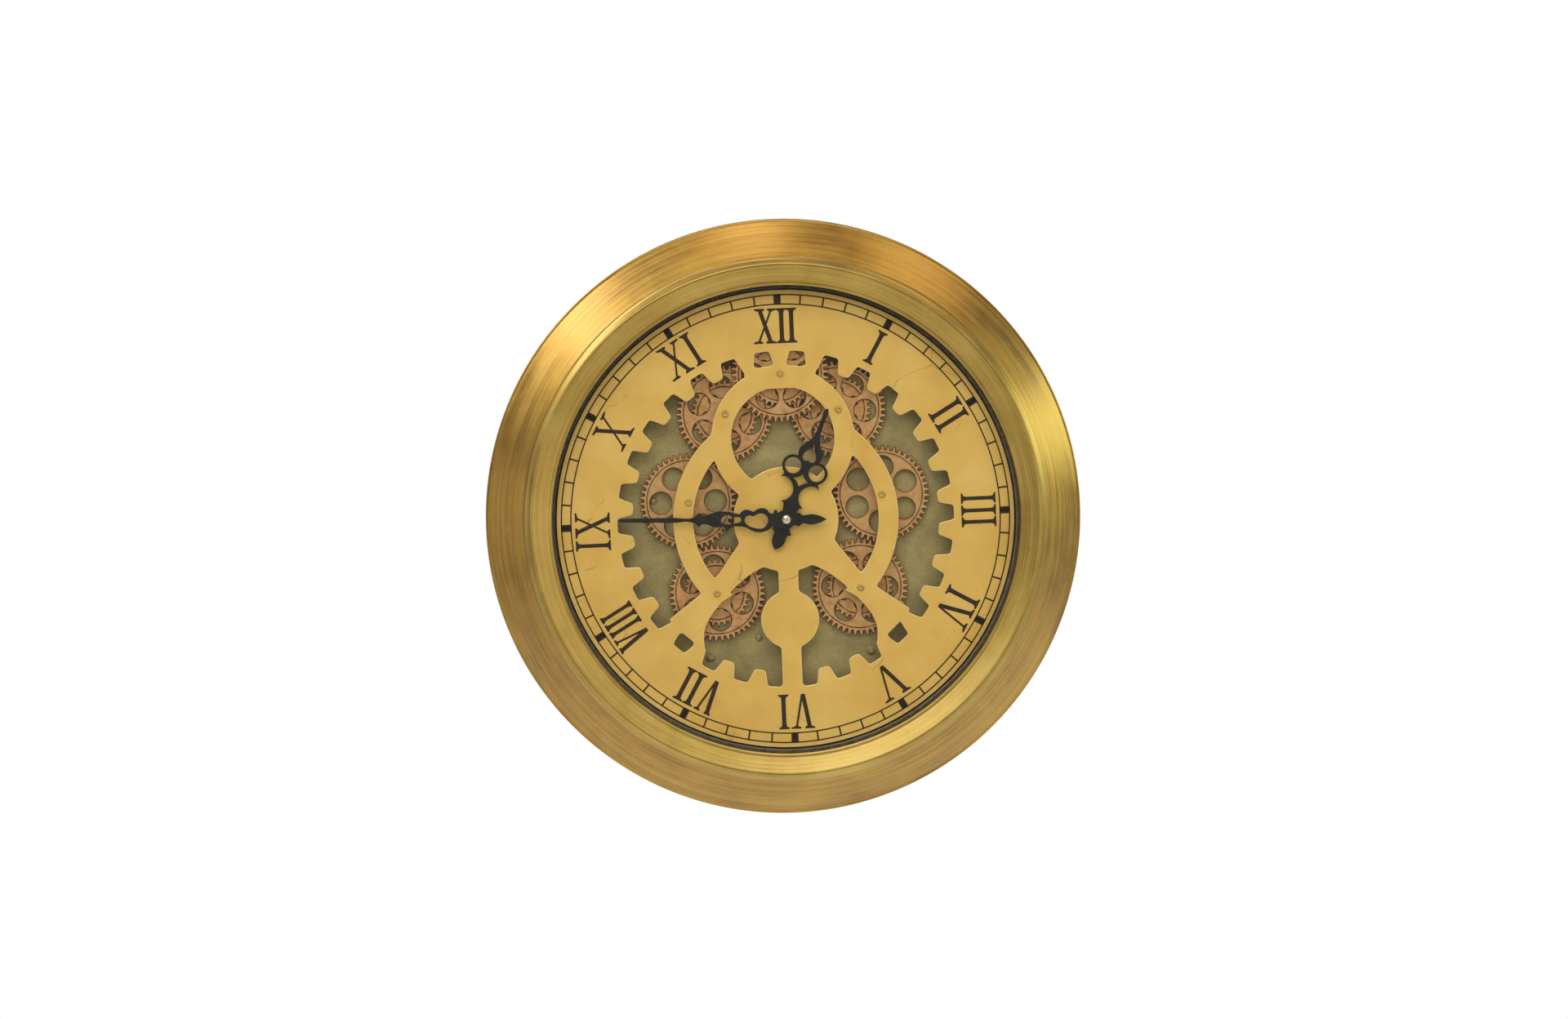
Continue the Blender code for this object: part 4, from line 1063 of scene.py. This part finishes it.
for name in ARBORS:
    low, high = levels(f"gear_{name}")
    copper = antique_copper(f"antiqued_copper_{name}", centres[name], ((GROOVE, BROWN_REACH), BORE_BROWN))
    thing = plant(f"pressed_gear_{name}", gear, {
        "Teeth": GEAR_TEETH, "Root": GEAR_ROOT, "Tip": GEAR_TIP, "Tooth Turn": tooth_turn(name), "Holes": 6,
        "Hole Circle": 13.8, "Hole Radius": 5.75, "Hole Turn": math.radians(HOLE_TURNS[name]), "Bore": 1.9,
        "Groove": GROOVE, "Groove Width": GROOVE_WIDTH, "Thickness": high - low - BEAD, "Bead": BEAD,
        "Material": copper}, centres[name], low)
    hand_in(thing, copper, "copper", f"gear_{name}", painted_edge_light=painted_shade_edge)

# %% Grow the rear gears
REAR_TEETH, REAR_ROOT, REAR_TIP, REAR_GROOVE = 34, 15.3, 17.0, 13.7
for name in ARBORS:
    if name.endswith("side"):
        continue
    low, high = levels(f"rear_gear_{name}")
    copper = antique_copper(f"antiqued_copper_rear_{name}", centres[name], ((REAR_GROOVE, BROWN_REACH),))
    thing = plant(f"pressed_rear_gear_{name}", gear, {
        "Teeth": REAR_TEETH, "Root": REAR_ROOT, "Tip": REAR_TIP, "Tooth Turn": tooth_turn(name), "Holes": 6,
        "Hole Circle": 9.0, "Hole Radius": 2.5, "Hole Turn": math.radians(HOLE_TURNS[name] + 30), "Bore": 1.9,
        "Groove": REAR_GROOVE, "Groove Width": GROOVE_WIDTH, "Thickness": high - low - BEAD, "Bead": BEAD,
        "Material": copper}, centres[name], low)
    hand_in(thing, copper, "copper", f"rear_gear_{name}", painted_edge_light=painted_shade_edge)

# %% [markdown]
# ## The olive plate, its pillars and the arbors
# The plate behind the gears is pressed brass with an olive patina, mottled where the chemical pooled. Four
# pillars hold it, with rivet heads in front, and each gear's arbor ends in a small domed head on the dial.

# %% Olive plate
olive, tree, shader, place = start("olive_patina", roughness=0.55, metallic=0.25)
cloud = node(tree, "ShaderNodeTexNoise", {"Vector": place, "Scale": 0.05, "Detail": 8.0, "Roughness": 0.7})
fine = node(tree, "ShaderNodeTexNoise", {"Vector": place, "Scale": 0.9, "Detail": 5.0, "Roughness": 0.75})
blend = node(tree, "ShaderNodeMix", {0: 0.4, 2: cloud.outputs[0], 3: fine.outputs[0]})
tone = node(tree, "ShaderNodeValToRGB", {0: blend.outputs[0]},
            stops=((0.34, "7C7044"), (0.5, "9E905C"), (0.66, "B9A96E")))
tree.links.new(tone.outputs[0], shader.inputs["Base Color"])
dull = node(tree, "ShaderNodeMapRange", {0: fine.outputs[0], 1: 0.3, 2: 0.7, 3: 0.48, 4: 0.66})
tree.links.new(dull.outputs[0], shader.inputs["Roughness"])
skin = node(tree, "ShaderNodeBump", {"Strength": 0.35, "Distance": 0.0002, "Height": fine.outputs[0]})
tree.links.new(skin.outputs[0], shader.inputs["Normal"])
for place_slot in frame["nodes"]["backplate"].material_slots:
    place_slot.material = olive

# %% Pillars and extra rivets
rivet_brass, tree, shader, place = start("riveted_brass", metallic=0.3, roughness=0.55)
cloud = node(tree, "ShaderNodeTexNoise", {"Vector": place, "Scale": 0.7, "Detail": 6.0})
dressed(tree, shader, cloud.outputs[0], ((0.3, "776B40"), (0.7, "AD9D64")),
        skin=(cloud.outputs[0], 0.3, 0.0001))
HEAD_BACK = 19.2            # depth of the step under the rivet heads and on the arbors
for number in range(1, 5):
    name = f"backplate_pillar_{number}"
    low, high = levels(name)
    pillar = turned(f"pillar_{number}", [
        (0, high), (1.4, high - 0.15, 1.0), (2.4, HEAD_BACK + 0.1, 0.3), (1.6, HEAD_BACK), (1.6, 17.4),
        (3.5, 17.4, 0.3), (3.5, low, 0.3), (0, low)], 48, middle(name))
    hand_in(pillar, rivet_brass, "brass", name)
plate_front = levels("backplate")[1]
rivets = [turned(f"rivet_{i}", [(0, plate_front + 0.9), (1.2, plate_front + 0.75, 0.8),
                                (2.0, plate_front + 0.02, 0.2), (0, plate_front + 0.02)], 40, spot)
          for i, spot in enumerate(((-66.5, 11.5), (-16.0, -60.0)))]
hand_in(joined("plate_rivets", rivets), rivet_brass, "brass", rides_with="backplate")

# %% Arbors with domed heads
arbor_steel, tree, shader, place = start("lacquered_arbor_head", metallic=0.35, roughness=0.5)
cloud = node(tree, "ShaderNodeTexNoise", {"Vector": place, "Scale": 0.9, "Detail": 6.0, "Roughness": 0.7})
dressed(tree, shader, cloud.outputs[0], ((0.3, "A98A45"), (0.7, "DAB866")),
        skin=(cloud.outputs[0], 0.35, 0.0001))
for name in ARBORS:
    low, high = levels(f"arbor_{name}")
    head = dial_front + 0.25
    arbor = turned(f"arbor_pin_{name}", [
        (0, high - 0.5), (0.7, high - 0.45, 0.2), (1.05, high, 0.3), (1.5, high - 0.1, 0.3),
        (1.85, head, 0.1), (1.1, head), (1.1, dial_back - 0.3), (1.5, dial_back - 0.3, 0.1),
        (1.5, HEAD_BACK, 0.1), (1.2, HEAD_BACK), (1.2, low, 0.1), (0, low)], 40, centres[name])
    hand_in(arbor, arbor_steel, "steel", f"arbor_{name}")

# %% [markdown]
# ## The hands
# The hands are pressed from thin steel and stoved black. Their outline is a row of curls, so it is drawn
# with a flowing curve that only stops at the spurs. A small round edge lets the black catch a grey line
# of light, which keeps the hands from looking like a hole.

# %% Stoved black
stoved, tree, shader, place = start("stoved_black_enamel", roughness=0.38, Specular_IOR_Level=0.35)
cloud = node(tree, "ShaderNodeTexNoise", {"Vector": place, "Scale": 0.5, "Detail": 6.0, "Roughness": 0.7})
dressed(tree, shader, cloud.outputs[0], ((0.35, "110F0C"), (0.7, "211D18")), (0.3, 0.5),
        (cloud.outputs[0], 0.3, 0.00008))

# %% Hour hand
HOUR_ANGLE, MINUTE_ANGLE = 22.8, 272.0      # degrees clockwise from twelve, as the measured model stands


def both_sides(right):
    """A closed outline from its right half, listed from the top point to the bottom point."""
    return Flowing(right + [(-p[0], *p[1:]) for p in reversed(right) if p[0] > 0.001])


hour_outline = both_sides([
    (0, 59.4), (0.85, 58.7), (1.0, 53.6), (1.45, 45.3), (2.3, 42.4), (4.4, 39.1), (5.9, 37.0), (6.2, 34.6),
    (5.6, 32.4, 0), (8.7, 31.8), (11.2, 29.5), (11.8, 26.6), (10.9, 23.8), (9.0, 21.7, 0), (10.3, 19.3, 0),
    (8.2, 20.3, 0), (6.2, 19.9), (4.4, 18.9), (2.7, 16.9), (1.8, 14.6), (1.9, 12.6), (2.8, 10.6), (4.2, 8.9),
    (5.9, 8.1, 0), (4.2, 7.2, 0), (3.7, 5.4), (3.4, 3.9, 0), (4.7, 1.0), (4.4, -1.9), (3.1, -3.9, 0),
    (4.0, -5.2), (5.2, -6.8, 0), (3.4, -7.7, 0), (3.3, -9.6), (3.3, -11.6), (2.2, -14.2), (0, -16.4, 0)])
hour_openings = [circle(4.1, (x, 26.8), 48) for x in (-6.3, 6.3)]
hour_openings.append(both_sides([(0, 40.2, 0), (1.5, 37.4), (3.4, 33.0), (2.6, 31.4), (1.2, 31.1),
                                 (0, 31.7, 0)]))
hour_openings.append(both_sides([(0, 24.4, 0), (1.6, 22.4), (4.0, 20.9, 0), (1.7, 19.6), (0, 17.8, 0)]))
hour_openings.append(circle(2.7, sides=40))
hour_hand = pierced("hour_hand_pressed", [hour_outline] + hour_openings, *levels("hour_hand"), 0.2)
hour_hand.data.transform(Matrix.Rotation(-math.radians(HOUR_ANGLE), 4, "Z"))
hand_in(hour_hand, stoved, "black_hands", "hour_hand")

# %% Minute hand
minute_right = [
    (0, 84.4), (0.6, 83.8), (1.3, 57.7), (1.6, 46.2), (3.7, 44.0, 0), (2.1, 42.0), (3.3, 37.8), (4.3, 33.8),
    (4.1, 29.5), (3.3, 25.6), (2.8, 23.6, 0), (4.1, 22.6), (5.1, 20.2), (4.7, 18.2), (4.0, 16.6, 0),
    (5.2, 14.8), (5.8, 12.4), (5.2, 9.9), (3.3, 8.1), (3.0, 6.6, 0), (4.9, 6.1, 0), (4.9, 4.9, 0),
    (3.4, 4.3, 0), (4.6, 1.8), (4.4, -1.0), (3.0, -3.9, 0), (3.4, -6.6, 0), (2.2, -8.2), (2.4, -10.6),
    (2.6, -13.0), (1.6, -17.2), (0, -20.4, 0)]
minute_left = [
    (-1.6, -17.2), (-2.6, -13.0), (-2.4, -10.6), (-2.1, -8.2), (-3.4, -6.6, 0), (-3.0, -3.9, 0), (-4.4, -1.0),
    (-4.6, 1.8), (-3.4, 4.3, 0), (-4.9, 4.9, 0), (-4.9, 6.1, 0), (-3.1, 6.6, 0), (-4.6, 8.3), (-6.0, 10.8),
    (-6.4, 14.0), (-5.5, 17.5), (-3.8, 20.6), (-3.3, 23.8), (-3.6, 27.2), (-6.2, 30.2, 0), (-3.9, 31.2),
    (-3.7, 36.0), (-2.1, 42.0), (-3.7, 44.0, 0), (-1.6, 46.2), (-1.3, 57.7), (-0.6, 83.8)]
minute_loop = Flowing([(2.7, 11.1), (3.0, 13.8), (1.6, 16.5, 0), (2.1, 19.0), (0, 21.0), (-2.2, 20.0),
                       (-4.3, 15.4), (-4.1, 11.5), (-1.2, 9.4), (1.0, 9.4)])
minute_diamond = Flowing([(2.3, 29.0), (0.7, 32.6), (-1.2, 32.6), (-2.5, 29.8), (-1.9, 27.4, 0),
                          (1.6, 27.4, 0)])
minute_slot = Flowing([(1.4, 26.3, 0), (0.8, 23.0), (-0.6, 22.9), (-2.0, 26.3, 0)])
minute_loops = [Flowing(minute_right + minute_left), minute_loop, minute_diamond, minute_slot,
                circle(1.6, sides=32)]
minute_hand = pierced("minute_hand_pressed", minute_loops, *levels("minute_hand"), 0.2)
minute_hand.data.transform(Matrix.Rotation(-math.radians(MINUTE_ANGLE), 4, "Z"))
hand_in(minute_hand, stoved, "black_hands", "minute_hand")

# %% Cap
nickel, tree, shader, place = start("satin_nickel", metallic=1.0, roughness=0.3)
cloud = node(tree, "ShaderNodeTexNoise", {"Vector": place, "Scale": 1.2, "Detail": 5.0})
dressed(tree, shader, cloud.outputs[0], ((0.3, "DCD8C4"), (0.7, "F4F2E4")), (0.22, 0.36))
cap_low, cap_high = levels("hand_cap")
cap = turned("domed_cap", [(0, cap_high), (1.3, cap_high - 0.15, 1.0), (2.2, cap_high - 0.8, 0.5),
                           (2.4, cap_low, 0.1), (0, cap_low)], 64)
hand_in(cap, nickel, "cap_silver", "hand_cap")

# %% [markdown]
# ## The back
# A round zinc plated sheet closes the case. It is held by four countersunk screws with crossed slots, and a
# keyhole in it, backed by a thicker plate, hangs the clock on a single wall screw.

# %% Back cover and hanger
cover_low, cover_high = levels("back_cover")
screw_spots = [middle(f"cover_screw_{number}") for number in range(1, 5)]


def keyhole():
    """A round hole for the head of a wall screw, with a narrow neck above it."""
    return arc(5.0, range(114, 427, 6), (0, 94)) + arc(2.2, range(0, 181, 12), (0, 103))


cover = pierced("back_sheet", [circle(radius("back_cover"), sides=240), keyhole()],
                cover_low, cover_high, 0.2)
for number, spot in enumerate(screw_spots):
    sink = turned(f"sink_{number}", [(0, cover_high + 0.1), (1.55, cover_high + 0.1),
                                     (3.45, cover_low - 0.1), (0, cover_low - 0.1)], 48, spot)
    cover = cut(cover, sink)
hand_in(cover, zinc, "steel", "back_cover")
low, high = span("hanger_plate")
plate_outline = rounded([(low.x, low.y, 3), (high.x, low.y, 3), (high.x, high.y, 3), (low.x, high.y, 3)], 6)
hanger = pierced("keyhole_plate", [plate_outline, keyhole()], low.z, high.z, 0.2)
hand_in(hanger, zinc, "steel", "hanger_plate")

# %% Cover screws
screw_low, screw_high = levels("cover_screw_1")
screw_black = speckled("blackened_screw_steel", ("3A3B3D", "6A6C6E"), 1.2, (0.28, 0.45), 1.0)
screws = []
for number, spot in enumerate(screw_spots):
    screw = turned(f"screw_{number}", [
        (0, screw_high), (1.0, screw_high, 0.2), (1.3, screw_high - 0.4), (1.3, 1.5),
        (2.95, screw_low + 0.1, 0.1), (2.7, screw_low, 0.1), (0, screw_low)], 48, spot)
    for turn in (20 + 35 * number, 110 + 35 * number):
        slot = pierced("slot", [[(-1.7, -0.3), (1.7, -0.3), (1.7, 0.3), (-1.7, 0.3)]], -1.0, 0.9)
        slot.data.transform(Matrix.Translation((*spot, 0)) @ Matrix.Rotation(math.radians(turn), 4, "Z"))
        screw = cut(screw, slot)
    screws.append(screw)
hand_in(joined("cover_screws_crossed", screws), screw_black, "steel",
        *(f"cover_screw_{number}" for number in range(1, 5)))

# %% [markdown]
# ## Inside the movement
# The quartz movement keeps the plain shapes of the measured model, since the olive plate hides it. Its
# pieces still get the finish of their own trade: moulded plastics, etched board, foil, wire and steel.

# %% Finishes for the movement
moulded_black = speckled("sparked_black_abs", ("17171A", "25252A"), 1.6, (0.42, 0.6))
moulded_white = speckled("natural_acetal", ("D8D6CC", "ECEAE2"), 0.7, (0.35, 0.5))
board_green = speckled("solder_masked_board", ("14502A", "1F6B3A"), 0.9, (0.3, 0.45))
battery_foil = speckled("printed_battery_jacket", ("2E3036", "4A4D55"), 0.4, (0.25, 0.4), 0.6)
wound_wire = speckled("wound_enamelled_wire", ("8A4A22", "C0763E"), 3.0, (0.25, 0.4), 0.9, 0.8, 0.0003)
stamped_steel = speckled("stamped_electrical_steel", ("7D7D7B", "A9A9A5"), 0.8, (0.3, 0.5), 1.0)
nut_brass = speckled("machined_brass", ("A88440", "CDAA5E"), 0.9, (0.25, 0.4), 1.0)
FINISHES = {
    moulded_black: ("movement_case", "movement_cover"),
    moulded_white: ("centre_wheel", "minute_wheel", "third_wheel", "fourth_wheel", "intermediate_wheel",
                    "hour_wheel", "set_knob"),
    board_green: ("circuit_board",), battery_foil: ("battery",), wound_wire: ("coil",),
    stamped_steel: ("stator", "rotor", "contact_positive", "contact_negative"), nut_brass: ("bushing_nut",)}
for material, names in FINISHES.items():
    for name in names:
        for place_slot in frame["nodes"][name].material_slots:
            place_slot.material = material
print("movement finished:", sum(len(names) for names in FINISHES.values()), "nodes")
